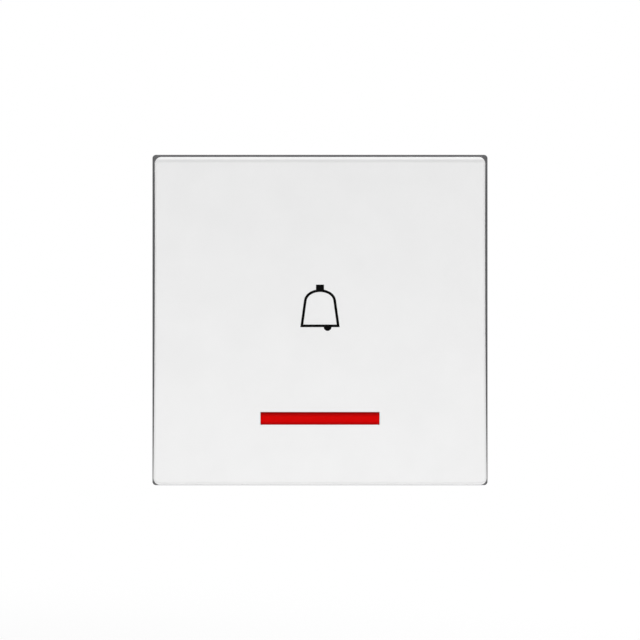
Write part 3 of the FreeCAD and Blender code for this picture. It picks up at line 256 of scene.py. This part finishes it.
def object_noise(group, start, detail):
    """Noise over the object's own space, as fine as the group's Scale says."""
    place = group.nodes.new("ShaderNodeTexCoord")
    noise = group.nodes.new("ShaderNodeTexNoise")
    noise.inputs["Detail"].default_value = detail
    group.links.new(place.outputs["Object"], noise.inputs["Vector"])
    group.links.new(start.outputs["Scale"], noise.inputs["Scale"])
    return noise.outputs["Fac"]


grain, start, end = new_group("surface_grain", ("Scale", "Depth"), "Normal", "NodeSocketVector")
bump = grain.nodes.new("ShaderNodeBump")
bump.inputs["Strength"].default_value = 1
grain.links.new(object_noise(grain, start, GRAIN_DETAIL), bump.inputs["Height"])
grain.links.new(start.outputs["Depth"], bump.inputs["Distance"])
grain.links.new(bump.outputs["Normal"], end.inputs["Normal"])

patches, start, end = new_group("slow_patches", ("Scale", "Low", "High"), "Value",
                                "NodeSocketFloat")
spread = patches.nodes.new("ShaderNodeMapRange")
spread.inputs["From Min"].default_value = NOISE_LOW
spread.inputs["From Max"].default_value = NOISE_HIGH
patches.links.new(object_noise(patches, start, PATCH_DETAIL), spread.inputs["Value"])
patches.links.new(start.outputs["Low"], spread.inputs["To Min"])
patches.links.new(start.outputs["High"], spread.inputs["To Max"])
patches.links.new(spread.outputs["Result"], end.inputs["Value"])
print("groups", [group.name for group in bpy.data.node_groups])

# %% [markdown]
# A finish starts from the same few nodes: one Principled shader, two colours mixed by slow patches,
# a gloss that wanders between two values, and a grain on the normal. The values are what make one
# finish polished cap and another spark-eroded housing. The gloss changes over shorter distances
# than the colour, so that the two don't look like one stain.

# %% How a finish is made
GLOSS_FINER = 2.3


def add_effect(nodes, group, **values):
    """A node that holds a shared effect, with values of its own."""
    effect = nodes.new("ShaderNodeGroup")
    effect.node_tree = group
    for label, value in values.items():
        effect.inputs[label].default_value = value
    return effect


def make_finish(name, light, dark, gloss, grain_scale, grain_depth, metal=0.0, specular=0.5,
                patch_scale=150.0):
    """A material whose colour, gloss and grain all vary a little over the surface.

    light and dark are its two colours and gloss the two ends of its roughness. Both scales are
    how many waves of the noise fit in a metre, and grain_depth is in metres.
    """
    finish = bpy.data.materials.new(name)
    finish.use_nodes = True
    nodes, links = finish.node_tree.nodes, finish.node_tree.links
    shader = nodes["Principled BSDF"]
    shader.inputs["Metallic"].default_value = metal
    shader.inputs["Specular IOR Level"].default_value = specular
    tint = add_effect(nodes, patches, Scale=patch_scale, Low=0, High=1)
    colour = nodes.new("ShaderNodeMix")
    colour.data_type = "RGBA"
    colour.inputs["A"].default_value = (*dark, 1)
    colour.inputs["B"].default_value = (*light, 1)
    polish = add_effect(nodes, patches, Scale=patch_scale * GLOSS_FINER, Low=gloss[0],
                        High=gloss[1])
    surface = add_effect(nodes, grain, Scale=grain_scale, Depth=grain_depth)
    links.new(tint.outputs["Value"], colour.inputs["Factor"])
    links.new(colour.outputs["Result"], shader.inputs["Base Color"])
    links.new(polish.outputs["Value"], shader.inputs["Roughness"])
    links.new(surface.outputs["Normal"], shader.inputs["Normal"])
    return finish


print("gloss patches", GLOSS_FINER, "times finer than colour patches")

# %% [markdown]
# Each finish belongs to one slot of the frame. The cap, the window and the sign are set against the
# photograph. The inside is hidden there, so it gets what such parts are usually made of: plated
# steel, dull brass, silver rivets, a green board, and plastics in grey, natural and black.

# %% Finishes
finishes = {
    "white_plastic": make_finish("white_cap", (0.87, 0.87, 0.87), (0.85, 0.85, 0.85),
                                 (0.40, 0.43), 900, 5e-7, specular=0.4),
    "dark_plastic": make_finish("dark_housing", (0.098, 0.098, 0.102), (0.084, 0.084, 0.088),
                                (0.5, 0.62), 5200, 2.2e-5, specular=0.4),
    "red_lens": make_finish("red_window", (0.60, 0.0005, 0.0005), (0.57, 0.0002, 0.0002),
                            (0.1, 0.16), 900, 1e-6, specular=0.02),
    "black_sign": make_finish("black_inlay", (0.003, 0.003, 0.003), (0.001, 0.001, 0.001),
                              (0.35, 0.45), 1500, 2e-6, specular=0.02),
    "grey_plastic": make_finish("grey_block", (0.33, 0.34, 0.35), (0.29, 0.30, 0.31),
                                (0.42, 0.55), 4200, 1.5e-5),
    "natural_plastic": make_finish("natural_plunger", (0.72, 0.71, 0.66), (0.66, 0.65, 0.6),
                                   (0.35, 0.45), 2500, 6e-6),
    "zinc_steel": make_finish("zinc_plate", (0.66, 0.66, 0.63), (0.55, 0.55, 0.53),
                              (0.28, 0.42), 3000, 6e-6, metal=1.0, patch_scale=400),
    "spring_steel": make_finish("spring_strip", (0.5, 0.5, 0.51), (0.4, 0.4, 0.41),
                                (0.24, 0.36), 3000, 4e-6, metal=1.0, patch_scale=300),
    "brass": make_finish("dull_brass", (0.74, 0.56, 0.27), (0.6, 0.43, 0.2),
                         (0.3, 0.45), 2600, 5e-6, metal=1.0, patch_scale=260),
    "silver": make_finish("silver_rivet", (0.86, 0.85, 0.83), (0.74, 0.72, 0.69),
                          (0.18, 0.3), 3000, 3e-6, metal=1.0, patch_scale=600),
    "board": make_finish("green_board", (0.03, 0.17, 0.07), (0.02, 0.12, 0.05),
                         (0.3, 0.42), 2400, 4e-6, patch_scale=500),
    "lamp_body": make_finish("lamp_white", (0.82, 0.82, 0.77), (0.76, 0.76, 0.7),
                             (0.25, 0.35), 2600, 4e-6),
    "component_black": make_finish("component_black", (0.022, 0.022, 0.022),
                                   (0.015, 0.015, 0.015), (0.4, 0.55), 5000, 1e-5),
    "black_rubber": make_finish("black_rubber", (0.034, 0.034, 0.034), (0.024, 0.024, 0.025),
                                (0.62, 0.78), 3600, 1.2e-5, specular=0.35),
}
print(len(finishes), "finishes")

# %% [markdown]
# Two finishes need one thing more. Plastic shrinks where it meets a thick edge, which leaves a
# faint sink mark in the face just under the top edge, a tenth of a millimetre deep. It shows only
# as a soft darker line and is too slight to model, so it is a bump along the height of the cap.

# %% Sink mark of the cap
SINK_LOW, SINK_HIGH, SINK_DEPTH = 25.9, 26.6, 0.13


def along_height(finish, low, high, start, end):
    """A value that runs smoothly from start to end between two heights, in millimetres."""
    nodes, links = finish.node_tree.nodes, finish.node_tree.links
    where = nodes.new("ShaderNodeTexCoord")
    parts = nodes.new("ShaderNodeSeparateXYZ")
    run = nodes.new("ShaderNodeMapRange")
    run.interpolation_type = "SMOOTHSTEP"
    run.inputs["From Min"].default_value = low * MM
    run.inputs["From Max"].default_value = high * MM
    run.inputs["To Min"].default_value = start
    run.inputs["To Max"].default_value = end
    links.new(where.outputs["Object"], parts.inputs["Vector"])
    links.new(parts.outputs["Z"], run.inputs["Value"])
    return run.outputs["Result"]


cap = finishes["white_plastic"]
nodes, links = cap.node_tree.nodes, cap.node_tree.links
shader = nodes["Principled BSDF"]
sink = nodes.new("ShaderNodeBump")
sink.inputs["Distance"].default_value = SINK_DEPTH * MM
links.new(along_height(cap, SINK_LOW, SINK_HIGH, 0, 1), sink.inputs["Height"])
links.new(shader.inputs["Normal"].links[0].from_socket, sink.inputs["Normal"])
links.new(sink.outputs["Normal"], shader.inputs["Normal"])
print("sink mark", SINK_DEPTH, "mm")

# %% [markdown]
# The red window gets a painted glow, a weak emission that makes it look lit from behind, though no
# lamp lights it. Painted shade darkens it towards its top and bottom edges, most at the top, where
# the cap would shade it, so its middle stays brightest. The same painted shade dims its colour and
# glow.

# %% Painted glow and painted edge shade of the window
# Painted glow, and painted shade along the top and bottom edges of the window
PAINTED_GLOW = 0.12
TOP_EDGE, TOP_SHADE = (-16.0, -15.35), 0.6
BOTTOM_EDGE, BOTTOM_SHADE = (-17.1, -16.6), 0.62

window = finishes["red_lens"]
nodes, links = window.node_tree.nodes, window.node_tree.links
shader = nodes["Principled BSDF"]
shader.inputs["Emission Strength"].default_value = PAINTED_GLOW
# Painted shade: the window's colour and glow are darkened towards its top and bottom edges
painted_shade_mask = nodes.new("ShaderNodeMath")
painted_shade_mask.operation = "MULTIPLY"
edge = nodes.new("ShaderNodeMix")
edge.data_type = "RGBA"
edge.inputs["A"].default_value = (0, 0, 0, 1)
links.new(along_height(window, *TOP_EDGE, 1, TOP_SHADE), painted_shade_mask.inputs[0])
links.new(along_height(window, *BOTTOM_EDGE, BOTTOM_SHADE, 1), painted_shade_mask.inputs[1])
links.new(painted_shade_mask.outputs[0], edge.inputs["Factor"])
links.new(shader.inputs["Base Color"].links[0].from_socket, edge.inputs["B"])
links.new(edge.outputs["Result"], shader.inputs["Base Color"])
links.new(edge.outputs["Result"], shader.inputs["Emission Color"])
print("window glows at", PAINTED_GLOW)

# %% [markdown]
# Each part of the frame names the finish that it takes, so one loop dresses them all.

# %% Dress the frame
slots = {part["node"]: part["material_slot"] for part in frame["record"]["subparts"]}
for name, part in frame["nodes"].items():
    part.data.materials.clear()
    part.data.materials.append(finishes[slots[name]])
print("dressed", len(slots), "parts")

# %% [markdown]
# New parts are shaped as by hand: a primitive is added at its size and place, then extruded, swept
# or cut, and modifiers are applied at once, so that what is left is a plain mesh. A few helpers
# keep those steps short. They take millimetres, and turned parts are made on the Y axis, which
# points at the wall.

# %% Helpers for shaping
DOUBLE = 1e-6
SMOOTH_ANGLE = 35


def only(piece):
    """Select one piece alone and make it the active one."""
    bpy.ops.object.select_all(action="DESELECT")
    piece.select_set(True)
    bpy.context.view_layer.objects.active = piece


def settle(piece):
    """Put a piece's place, turn and scale into its mesh."""
    only(piece)
    bpy.ops.object.transform_apply(location=True, rotation=True, scale=True)
    return piece


def apply_all(piece):
    """Apply every modifier of a piece in turn."""
    only(piece)
    for modifier in list(piece.modifiers):
        bpy.ops.object.modifier_apply(modifier=modifier.name)


def clean(piece):
    """Merge doubled corners, close open loops and point all faces outwards."""
    only(piece)
    bpy.ops.object.mode_set(mode="EDIT")
    bpy.ops.mesh.select_all(action="SELECT")
    bpy.ops.mesh.remove_doubles(threshold=DOUBLE)
    bpy.ops.mesh.fill_holes(sides=0)
    bpy.ops.mesh.normals_make_consistent(inside=False)
    bpy.ops.object.mode_set(mode="OBJECT")
    return piece


def round_edges(piece, width, segments=2, angle=30):
    """Round every edge that turns by more than an angle."""
    rounding = piece.modifiers.new("rounding", "BEVEL")
    rounding.width = width * MM
    rounding.segments = segments
    rounding.limit_method = "ANGLE"
    rounding.angle_limit = math.radians(angle)
    apply_all(piece)
    return piece


print("corners nearer than", DOUBLE / MM, "mm are merged")

# %% [markdown]
# Every finished piece goes through the same last steps. It is smoothed up to a clear angle, large
# flat faces keep their normals straight, and it gets its name, its finish and the body that it
# rides on. A piece that stands in for a part of the frame hides that part.

# %% Last steps of a piece
def ready(piece, name, finish, body, *stands_for):
    """Name and smooth a finished piece, give it its finish and let it ride on a body."""
    settle(piece)
    bpy.ops.object.shade_smooth_by_angle(angle=math.radians(SMOOTH_ANGLE))
    even = piece.modifiers.new("even_normals", "WEIGHTED_NORMAL")
    even.keep_sharp = True
    apply_all(piece)
    piece.name = name
    piece.data.name = name
    piece.data.materials.clear()
    piece.data.materials.append(finishes[finish])
    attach(piece, body)
    if stands_for:
        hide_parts(*stands_for)
    print(name, len(piece.data.polygons), "faces")
    return piece


print("edges sharper than", SMOOTH_ANGLE, "degrees stay sharp")

# %% [markdown]
# Boxes, turned shapes and lines come back often. A turned shape starts as one vertex that is
# extruded from point to point, and is then swept round the axis, which is how a lathe part is
# drawn. What repeats is modelled once and copied, each copy with a mesh of its own.

# %% Basic shapes
SIDES = {"left": -1, "right": 1}


def block(low, high, edge=0.0, segments=2):
    """A box between two corners, with rounded edges."""
    low, high = Vector(low) * MM, Vector(high) * MM
    bpy.ops.object.select_all(action="DESELECT")
    bpy.ops.mesh.primitive_cube_add(size=1, location=(low + high) / 2, scale=high - low)
    piece = settle(bpy.context.object)
    return round_edges(piece, edge, segments) if edge else piece


def draw_line(points):
    """A line through some points, drawn by extruding one vertex again and again."""
    points = [Vector(point) * MM for point in points]
    bpy.ops.object.select_all(action="DESELECT")
    bpy.ops.mesh.primitive_plane_add(size=MM)
    line = bpy.context.object
    bpy.ops.object.mode_set(mode="EDIT")
    bpy.ops.mesh.select_all(action="SELECT")
    bpy.ops.mesh.merge(type="CENTER")
    bpy.ops.transform.translate(value=points[0])
    for here, there in zip(points, points[1:]):
        bpy.ops.mesh.extrude_region_move(TRANSFORM_OT_translate={"value": there - here})
    bpy.ops.object.mode_set(mode="OBJECT")
    return line


def swept(line, steps, turns=1, pitch=0.0):
    """A line swept round the Y axis, along it by one pitch for each turn."""
    sweep = line.modifiers.new("sweep", "SCREW")
    sweep.axis = "Y"
    sweep.screw_offset = pitch * MM
    sweep.iterations = turns
    sweep.steps = sweep.render_steps = steps
    sweep.use_merge_vertices = True
    sweep.merge_threshold = DOUBLE
    apply_all(line)
    return line


def turned(points, steps=48):
    """A turned shape from a line of (radius, place along Y) points."""
    return clean(swept(draw_line([(radius, along, 0) for radius, along in points]), steps))


def joined(pieces):
    """Several loose shapes as one piece."""
    only(pieces[0])
    for piece in pieces:
        piece.select_set(True)
    bpy.ops.object.join()
    return pieces[0]


def twin(piece, across=0.0, along=0.0, up=0.0, turn=(0, 0, 0), stretch=(1, 1, 1)):
    """A copy with a mesh of its own, stretched, turned by some degrees and moved."""
    copy = piece.copy()
    copy.data = piece.data.copy()
    scene.collection.objects.link(copy)
    copy.scale = stretch
    copy.rotation_euler = [math.radians(angle) for angle in turn]
    copy.location = Vector((across, along, up)) * MM
    return settle(copy)


print("sides", SIDES)

# %% [markdown]
# Real moulded and stamped parts have no perfectly sharp edges: a mould is polished, and a punch
# draws the metal over a little. A narrow bevel catches a thin line of light and gives a part its
# true size. The frame's own meshes stay as they are, so each part gets a copy whose loose triangles
# are merged into clean faces first, then bevelled wherever two faces meet at a clear angle. The
# table gives the width of each part's bevel in millimetres.

# %% Softened copies of moulded and stamped parts
FLAT_ANGLE = 1
SOFT_EDGES = {
    "base": 0.12, "contact_block": 0.12, "contact_block_cover": 0.1, "contact_bridge": 0.06,
    "contact_strip_left": 0.06, "contact_strip_right": 0.06, "wire_clamp_left": 0.08,
    "wire_clamp_right": 0.08, "plunger": 0.12, "lamp_board": 0.05, "resistor": 0.03,
    "rectifier_diode": 0.06, "led_left": 0.08, "led_right": 0.08, "lens": 0.08,
}


def merged_copy(node, name):
    """A copy of a frame part with its corners merged, left in edit mode and all selected."""
    piece = bpy.data.objects.new(name, frame["nodes"][node].data.copy())
    scene.collection.objects.link(piece)
    only(piece)
    bpy.ops.mesh.customdata_custom_splitnormals_clear()
    bpy.ops.object.mode_set(mode="EDIT")
    bpy.ops.mesh.select_all(action="SELECT")
    bpy.ops.mesh.remove_doubles(threshold=DOUBLE)
    return piece


def softened(node, width):
    """A merged, bevelled copy of a frame part, that stands in for it."""
    piece = merged_copy(node, node + "_soft")
    bpy.ops.mesh.dissolve_limited(angle_limit=math.radians(FLAT_ANGLE))
    bpy.ops.object.mode_set(mode="OBJECT")
    round_edges(piece, width)
    return ready(piece, node + "_soft", slots[node], frame["nodes"][node]["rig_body"], node)


for node, width in SOFT_EDGES.items():
    softened(node, width)

# %% [markdown]
# The bell sign is a second shot of black plastic, flush with the face. Such plastic always creeps a
# little over the edge of its groove, so the line looks a bit bolder than the groove itself. A
# merged copy of the inlay is fattened evenly, which widens its line and lifts it a hair above the
# face.

# %% Bell sign
SIGN_CREEP = 0.025

sign = merged_copy("bell_symbol", "bell_sign")
bpy.ops.transform.shrink_fatten(value=SIGN_CREEP * MM, use_even_offset=True)
bpy.ops.object.mode_set(mode="OBJECT")
ready(sign, "bell_sign", "black_sign", "rocker", "bell_symbol")
print("line widened by", 2 * SIGN_CREEP, "mm")

# %% [markdown]
# Four screws hold the push together. The head starts as a cylinder with a rounded rim, and a cutter
# takes out the slot for the screwdriver. The thread is one tooth of its outline, swept along a
# helix, round a plain core that starts inside the head and narrows to a point. The tooth's points
# are given as a radius and a share of one pitch.

# %% How a screw is made
HEAD_SIDES, HEAD_ROUND = 48, 0.2
SLOT_WIDTH, SLOT_ROUND, SLOT_ANGLE = 0.8, 0.04, 50
CORE_SIDES, CORE_SUNK = 32, 0.2
THREAD_STEPS, THREAD_DEPTH = 24, 0.35
POINT_TAPER = 0.65


def slotted_head(top, seat, radius):
    """The round head of a screw with its slot, between its top and the seat under it."""
    rise = seat - top
    bpy.ops.object.select_all(action="DESELECT")
    bpy.ops.mesh.primitive_cylinder_add(
        vertices=HEAD_SIDES, radius=radius * MM, depth=rise * MM,
        location=(0, (top + seat) / 2 * MM, 0), rotation=(math.radians(90), 0, 0),
    )
    crown = round_edges(settle(bpy.context.object), HEAD_ROUND, segments=3)
    cutter = block((-2 * radius, top - rise, -SLOT_WIDTH / 2),
                   (2 * radius, top + rise / 2, SLOT_WIDTH / 2))
    cut = crown.modifiers.new("slot", "BOOLEAN")
    cut.operation = "DIFFERENCE"
    cut.object = cutter
    apply_all(crown)
    bpy.data.objects.remove(cutter)
    return round_edges(crown, SLOT_ROUND, segments=1, angle=SLOT_ANGLE)


def cut_thread(seat, end, root, shank, pitch, point):
    """A helical thread between the seat and the end, that narrows over the point."""
    tooth = [(root, 0), (root, 0.15), (shank, 0.45), (shank, 0.6), (root, 0.9), (root, 1)]
    line = draw_line([(radius, seat + share * pitch, 0) for radius, share in tooth])
    thread = clean(swept(line, THREAD_STEPS, int((end - seat) / pitch), pitch))
    for corner in thread.data.vertices:
        past = max(0.0, corner.co.y - (end - point) * MM) / (point * MM)
        corner.co.x *= 1 - POINT_TAPER * past
        corner.co.z *= 1 - POINT_TAPER * past
    return thread


def slotted_screw(top, seat, end, head, shank, pitch, point):
    """A cheese head screw with a cut thread, head towards the front."""
    crown = slotted_head(top, seat, head)
    root = shank - THREAD_DEPTH * pitch
    core = turned([(0, seat - CORE_SUNK), (root, seat - CORE_SUNK), (root, end - point),
                   ((1 - POINT_TAPER) * root, end), (0, end)], CORE_SIDES)
    return joined([crown, core, cut_thread(seat, end, root, shank, pitch, point)])


print("slots", SLOT_WIDTH, "mm wide")

# %% [markdown]
# Each kind of screw is modelled once and copied for the other side. The copies are turned a little,
# because no two screws stop at the same angle. A row gives where a kind sits, across and up, and
# the angle in degrees at which the left and the right one stop.

# %% Screws
SCREWS = {
    "block_screw": (dict(top=-10.5, seat=-9.2, end=-0.6, head=2.0, shank=1.1, pitch=0.8, point=1.2),
                    9.7, -4.6, {"left": 24, "right": -58}),
    "terminal_screw": (dict(top=-7.9, seat=-6.2, end=-2.3, head=2.4, shank=1.5, pitch=0.5,
                            point=0.4),
                       6.2, 5.0, {"left": -37, "right": 12}),
}
for kind, (sizes, across, up, stops_at) in SCREWS.items():
    pattern = slotted_screw(**sizes)
    for hand, side in SIDES.items():
        screw = twin(pattern, side * across, 0, up, (0, stops_at[hand], 0))
        ready(screw, f"{kind}_{hand}_turned", "zinc_steel", "housing", f"{kind}_{hand}")
    bpy.data.objects.remove(pattern)

# %% [markdown]
# A small coil spring pushes the plunger out. Its wire is round, and the first and last turn lie
# close on their neighbours, so that the spring stands square. The coil is swept from a circle with
# an even pitch, and each ring of the mesh is then slid along the axis to where a closed end would
# have it. The step from a closed turn to an open one is eased by an average over nearby places.

# %% Plunger spring
COIL_RADIUS, WIRE = 1.7, 0.35
COIL_FOOT, COIL_HEAD, COIL_UP = -3.0, -6.378, -10.6
COIL_TURNS, RING, RING_STEPS = 5, 12, 36
EVEN_PITCH, CLOSED_PITCH = 1.0, 1.03 * WIRE
EASING = (-0.15, -0.05, 0.05, 0.15)

bpy.ops.object.select_all(action="DESELECT")
bpy.ops.mesh.primitive_circle_add(vertices=RING, radius=WIRE / 2 * MM,
                                  location=(COIL_RADIUS * MM, 0, 0))
coil = swept(settle(bpy.context.object), RING_STEPS, COIL_TURNS, EVEN_PITCH)


def wire_place(turns_done):
    """How far along the axis the middle of the wire is after some turns, in millimetres."""
    climb = (COIL_FOOT - COIL_HEAD - WIRE - 2 * CLOSED_PITCH) / (COIL_TURNS - 2)
    first = min(turns_done, 1) * CLOSED_PITCH
    free = min(max(turns_done - 1, 0), COIL_TURNS - 2) * climb
    last = max(turns_done - (COIL_TURNS - 1), 0) * CLOSED_PITCH
    return first + free + last


for corner in coil.data.vertices:
    turns_done = (corner.index // RING) / RING_STEPS
    nearby = [min(max(turns_done + shift, 0), COIL_TURNS) for shift in EASING]
    eased = sum(wire_place(turn) for turn in nearby) / len(nearby)
    corner.co.y += (COIL_FOOT - WIRE / 2 - eased - turns_done * EVEN_PITCH) * MM
clean(coil)
coil.location = (0, 0, COIL_UP * MM)
ready(coil, "plunger_spring_coil", "spring_steel", "housing", "plunger_spring")
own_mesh(coil)
print("coil from", COIL_FOOT, "to", COIL_HEAD, "mm")

# %% [markdown]
# Two bent strips of spring steel push the lower half of the cap out again. They are stamped, so
# they get the same narrow bevel as the other sheet parts.

# %% Return springs
LEAF_FOOT, LEAF_EDGE = -2.0, 0.06

for hand in SIDES:
    leaf = softened(f"return_spring_{hand}", LEAF_EDGE)
    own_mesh(leaf)

# %% [markdown]
# The rubber grommet is turned from its outline, with the groove that grips the back plate. Its skin
# has two raised rings and a thin middle, which is where the cable is pushed through, so the outline
# gets those small steps too. Rubber has soft edges, hence the wider rounding.

# %% Cable grommet
ENTRY_UP = 16.95
GROMMET_OUTLINE = (
    (0, -1.25), (0.9, -1.25), (1.1, -1.0), (1.5, -1.0), (1.6, -0.8), (1.9, -0.8), (2.0, -1.0),
    (2.5, -1.0), (2.6, -0.8), (2.9, -0.8), (3.0, -1.0), (3.25, -1.0), (3.25, -0.05),
    (5.65, -0.05), (5.65, -0.95), (4.2, -0.95), (4.2, -2.05), (5.65, -2.05), (5.15, -3.05),
    (3.25, -3.05), (2.65, -1.6), (0, -1.6),
)

grommet = round_edges(turned(GROMMET_OUTLINE, steps=96), width=0.1, angle=25)
grommet.location = (0, 0, ENTRY_UP * MM)
ready(grommet, "cable_grommet_rings", "black_rubber", "housing", "cable_grommet")

# %% [markdown]
# The contacts are rivets with a domed silver face, so that they touch at one clean point. One rivet
# is turned, then copied to the two strips, and turned round for the two under the moving bridge.

# %% Contact rivets
RIVET_OUTLINE = ((0, -0.4), (0.4, -0.39), (0.75, -0.35), (1.0, -0.27), (1.15, -0.15), (1.2, 0),
                 (0, 0))
RIVET_SIDE, RIVET_UP = 3.6, -10.6
STRIP_FACE, BRIDGE_FACE = -4.4, -6.38

rivet = turned(RIVET_OUTLINE, steps=40)
for hand, side in SIDES.items():
    fixed = twin(rivet, side * RIVET_SIDE, STRIP_FACE, RIVET_UP)
    ready(fixed, f"fixed_contact_{hand}_dome", "silver", "housing", f"fixed_contact_{hand}")
    moving = twin(rivet, side * RIVET_SIDE, BRIDGE_FACE, RIVET_UP, (0, 0, 180))
    ready(moving, f"bridge_contact_{hand}_dome", "silver", "plunger", f"bridge_contact_{hand}")
bpy.data.objects.remove(rivet)

# %% [markdown]
# The two lamps sit on the board, each under a dome, with tinned leads that wrap round its ends. The
# dome is the front half of a flattened ball. One circle of the ball's corners lies exactly at its
# middle, so all corners behind that circle are deleted and the opening is closed, which leaves a
# clean rim that is level with the body.

# %% Lamp domes and leads
LAMP_SIDE, LAMP_UP, LAMP_FACE, BOARD_FACE = 2.6, -17.4, -5.2, -3.6
DOME_RADIUS, DOME_FLATNESS = 0.95, 0.4
LEAD_LOW, LEAD_HIGH, LEAD_EDGE = (-1.52, -0.9, -0.5), (-1.2, -0.02, 0.5), 0.08


def half_ball(radius, flatness, segments):
    """The front half of a ball that may be flattened, closed at its middle."""
    bpy.ops.object.select_all(action="DESELECT")
    bpy.ops.mesh.primitive_uv_sphere_add(segments=segments, ring_count=segments // 2,
                                         radius=radius * MM, scale=(1, flatness, 1))
    piece = settle(bpy.context.object)
    bpy.ops.object.mode_set(mode="EDIT")
    bpy.ops.mesh.select_all(action="DESELECT")
    bpy.ops.object.mode_set(mode="OBJECT")
    for corner in piece.data.vertices:
        corner.select = corner.co.y > DOUBLE
    bpy.ops.object.mode_set(mode="EDIT")
    bpy.ops.mesh.delete(type="VERT")
    bpy.ops.object.mode_set(mode="OBJECT")
    return clean(piece)


dome = half_ball(DOME_RADIUS, DOME_FLATNESS, segments=32)
lead = block(LEAD_LOW, LEAD_HIGH, LEAD_EDGE)
for hand, side in SIDES.items():
    clear = twin(dome, side * LAMP_SIDE, LAMP_FACE, LAMP_UP)
    ready(clear, f"led_{hand}_dome", "lamp_body", "housing")
    leads = joined([twin(lead, side * LAMP_SIDE, BOARD_FACE, LAMP_UP, (0, turn, 0))
                    for turn in (0, 180)])
    ready(leads, f"led_{hand}_leads", "silver", "housing")
bpy.data.objects.remove(dome)
bpy.data.objects.remove(lead)

# %% [markdown]
# Copper tracks stand a hair above the board under its lacquer. They are thin bevelled bars that run
# from corner to corner of a route, and the lacquer makes the copper look green.

# %% Tracks on the lamp board
TRACK_HALF, TRACK_EDGE = 0.2, 0.015
LEVEL_RISE, UPRIGHT_RISE, TRACK_SUNK = 0.05, 0.06, 0.02
ROUTES = (
    ((-6.0, -17.4), (-4.2, -17.4)),
    ((-1.0, -17.4), (1.0, -17.4)),
    ((4.4, -17.4), (4.4, -19.7), (-0.75, -19.7), (-0.75, -20.9)),
    ((-4.05, -20.9), (-5.2, -20.9), (-5.2, -22.4), (4.75, -22.4), (4.75, -20.7)),
    ((10.35, -20.7), (10.35, -17.0), (6.0, -17.0)),
)


def track(start, end):
    """A straight copper track between two points, upright ones a hair higher where they cross."""
    rise = LEVEL_RISE if start[1] == end[1] else UPRIGHT_RISE
    low = [min(pair) - TRACK_HALF for pair in zip(start, end)]
    high = [max(pair) + TRACK_HALF for pair in zip(start, end)]
    return block((low[0], BOARD_FACE - rise, low[1]), (high[0], BOARD_FACE + TRACK_SUNK, high[1]),
                 TRACK_EDGE, segments=1)


tracks = joined([track(*ends) for route in ROUTES for ends in zip(route, route[1:])])
ready(tracks, "board_tracks", "board", "housing")
tracks.data.materials[0] = make_finish("lacquered_copper", (0.10, 0.30, 0.10), (0.07, 0.23, 0.08),
                                       (0.3, 0.42), 2400, 4e-6, patch_scale=500)

# %% [markdown]
# Every soldered joint is a small mound that wets the part it holds: half a ball that stands on the
# board, modelled once and stretched for each place. A row gives a joint's place across and
# up, and its reach across, towards the front and up.

# %% Solder and caps on the lamp board
JOINTS = (
    (-6.0, -17.2, (1.15, 0.75, 0.55)), (6.0, -17.2, (1.15, 0.75, 0.55)),
    (-4.05, -20.9, (0.4, 0.4, 0.8)), (-0.75, -20.9, (0.4, 0.4, 0.8)),
    (4.75, -20.7, (0.5, 0.4, 0.8)), (10.45, -20.7, (0.5, 0.4, 0.8)),
    (-4.2, LAMP_UP, (0.3, 0.4, 0.6)), (-1.0, LAMP_UP, (0.3, 0.4, 0.6)),
    (1.0, LAMP_UP, (0.3, 0.4, 0.6)), (4.2, LAMP_UP, (0.3, 0.4, 0.6)),
)
CAP_SPANS, CAP_HEIGHTS = ((-4.03, -3.48), (-1.32, -0.77)), (-21.73, -20.07)
CAP_FACE, CAP_EDGE = -4.23, 0.05

mound = half_ball(radius=1, flatness=1, segments=24)
mounds = [twin(mound, across, BOARD_FACE, up, stretch=reach) for across, up, reach in JOINTS]
bpy.data.objects.remove(mound)
ready(joined(mounds), "board_solder", "silver", "housing")
caps = [block((left, CAP_FACE, CAP_HEIGHTS[0]), (right, BOARD_FACE, CAP_HEIGHTS[1]), CAP_EDGE)
        for left, right in CAP_SPANS]
ready(joined(caps), "resistor_caps", "silver", "housing")

# %% [markdown]
# The hollows in the back of the plate save plastic, and thin ribs keep them stiff. A little lower
# than the rear face, they never touch the wall. One set of crossed ribs is made and copied to each
# hollow, with the round marks that the mould's ejector pins leave. The outline of a mark is given
# as a radius and a height over the floor of the hollow.

# %% Ribs and ejector marks in the back
HOLLOW_NEAR, HOLLOW_FAR, HOLLOW_FLOOR = 6.8, 21.6, -0.8
RIB_HALF, RIB_GAP, RIB_EDGE, END_GAP = 0.35, 4.93, 0.08, 0.01
RIB_ROOT, UPRIGHT_TOP, LEVEL_TOP = HOLLOW_FLOOR - 0.05, -0.12, -0.11
MARK_OUTLINE = ((0, -0.03), (1.25, -0.03), (1.25, 0.04), (1.1, 0.07), (1.0, 0.02), (0, 0.02))

hollow_middle = (HOLLOW_NEAR + HOLLOW_FAR) / 2
reach = (HOLLOW_FAR - HOLLOW_NEAR) / 2 - END_GAP
shapes = []
for offset in (-RIB_GAP / 2, RIB_GAP / 2):
    shapes.append(block((offset - RIB_HALF, RIB_ROOT, -reach),
                        (offset + RIB_HALF, UPRIGHT_TOP, reach), RIB_EDGE))
    shapes.append(block((-reach, RIB_ROOT, offset - RIB_HALF),
                        (reach, LEVEL_TOP, offset + RIB_HALF), RIB_EDGE))
mark = turned([(radius, HOLLOW_FLOOR + rise) for radius, rise in MARK_OUTLINE], steps=32)
shapes += [twin(mark, offset, 0, offset) for offset in (-RIB_GAP, RIB_GAP)]
bpy.data.objects.remove(mark)
lattice = joined(shapes)
copies = [twin(lattice, side * hollow_middle, 0, level * hollow_middle)
          for side in (-1, 1) for level in (-1, 1)]
bpy.data.objects.remove(lattice)
ready(joined(copies), "base_back_ribs", "dark_plastic", "housing")
